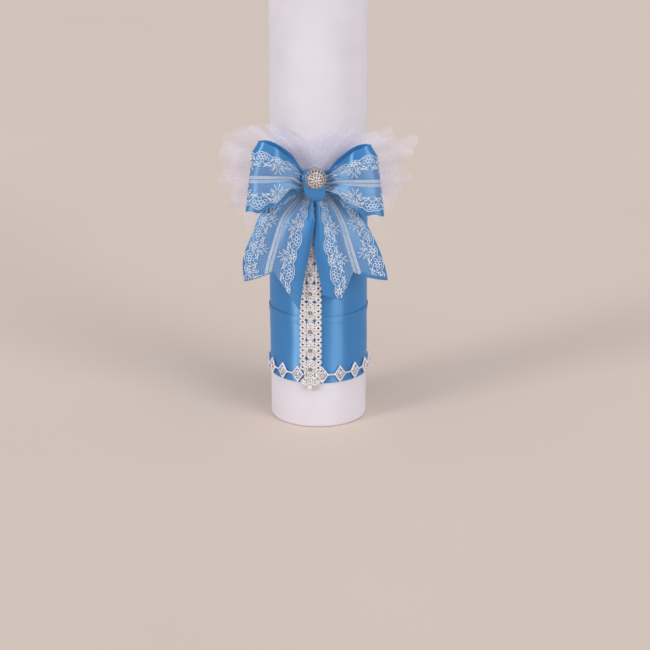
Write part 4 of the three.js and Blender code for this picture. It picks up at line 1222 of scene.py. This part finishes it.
def link_parts(angle):
    """A beaded link from the lozenge at an angle to the next one."""
    inset = (FRAME_HALF + 0.2) / CHAIN_BACK
    link = np.linspace(angle + inset, angle + CHAIN_STEP - inset, 8)
    parts = [tube(around(CHAIN_BACK + 0.85, link, CHAIN_HEIGHT), 0.45)]
    for share in (0.12, 0.5, 0.88):
        spot = around(CHAIN_BACK + 0.95, link[0] + (link[-1] - link[0]) * share, CHAIN_HEIGHT)
        parts.append(ball(spot, 0.85))
    return parts


def make_chain():
    angles = [CHAIN_START + k * CHAIN_STEP for k in range(CHAIN_COUNT)]
    parts = []
    for k, angle in enumerate(angles):
        parts += lozenge_parts(angle)
        if k < CHAIN_COUNT - 1:
            parts += link_parts(angle)
    points, faces = joined(parts)
    made = piece("lozenge_links", points, faces, silver)
    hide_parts("lozenge_chain")
    for k, angle in enumerate(angles):
        name = f"chain_stone_{k + 1:02d}"
        at = (CHAIN_BACK + 1.4, angle, CHAIN_HEIGHT)
        set_stone(name.replace("stone", "crystal"), name, bright_crystal, CHAIN_CUT, at)


make_chain()


# Brooch

BROOCH_X = BOW_X + 0.4
BROOCH_HEIGHT = BOW_HEIGHT + 4.4
BROOCH_BACK = 51.2
BROOCH_DOME = np.array([
    # radius, height
    [0, 5.1], [3.0, 4.9], [4.2, 4.5], [5.3, 3.8], [6.2, 2.8], [6.8, 1.6], [7.0, 0.6], [7.0, 0],
])
BROOCH_RINGS = (
    # loops, radius of their middles, half their length, wire
    (18, 6.1, 0.95, 0.27), (13, 4.4, 0.75, 0.25),
)
ROSETTE_PETALS = 9
ROSETTE_FOOT = 4.9
ROSETTE_POINTS = np.array([
    [0.6, 0, 0.3], [1.5, 0.5, 0.3], [3.0, 0.8, 0.3], [4.1, 0, 0.3], [3.0, -0.8, 0.3], [1.5, -0.5, 0.3],
    [1.1, 0, 1.8], [3.2, 0, 1.5],
])
ROSETTE_FACES = (
    (0, 1, 6), (1, 2, 7, 6), (2, 3, 7), (3, 4, 7), (4, 5, 6, 7), (5, 0, 6), (5, 4, 3, 2, 1, 0),
)
HEART_CUT = (0.9, 1.2)
HEART_OUT = 6.2


def brooch_space(points):
    """Points modelled standing on +Z, turned to face -Y at the knot."""
    x, y, z = points.T
    return stacked(BROOCH_X + x, -(BROOCH_BACK + z), BROOCH_HEIGHT + y)


def dome_height(radius):
    return np.interp(radius, BROOCH_DOME[:-1, 0], BROOCH_DOME[:-1, 1])


def make_brooch():
    ground = lathe(BROOCH_DOME[::-1], 48)
    parts = [ground]
    loop = full_turn(12)
    for count, middle, half, wire in BROOCH_RINGS:
        radius = middle + half * np.cos(loop)
        height = 0.25 + dome_height(radius)
        out = middle + half
        for k in range(count):
            sweep = 2 * math.pi * (k + 0.5) / count + 0.82 * math.pi / count * np.sin(loop)
            path = stacked(radius * np.cos(sweep), radius * np.sin(sweep), height)
            parts.append(tube(path, wire, closed=True))
            rim = 2 * math.pi * k / count
            bead = [out * math.cos(rim), out * math.sin(rim), 0.3 + dome_height(out)]
            parts.append(ball(bead, 0.45, rings=6))
    points, faces = joined(parts)
    made = piece("brooch_filigree", brooch_space(points), faces, brooch_silver)
    # The dome between the filigree's loops is painted dark, as the shade in its openings.
    made.data.materials.append(brooch_painted_shade)
    for face in made.data.polygons[:len(ground[1])]:
        face.material_index = 1
    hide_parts("brooch_mount")

    petals = []
    for k in range(ROSETTE_PETALS):
        petal = turned(ROSETTE_POINTS, 2 * math.pi * k / ROSETTE_PETALS)
        petals.append((petal + [0, 0, ROSETTE_FOOT], ROSETTE_FACES))
    points, faces = joined(petals)
    made = piece("brooch_flower", brooch_space(points), faces, pale_crystal, smooth=False)
    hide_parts("brooch_rosette")

    points, faces = cut_stone(*HEART_CUT)
    centre = [[BROOCH_X, -(BROOCH_BACK + HEART_OUT), BROOCH_HEIGHT]]
    made = piece("brooch_heart", points + centre, faces, pale_crystal, smooth=False)
    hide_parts("brooch_stone")


make_brooch()
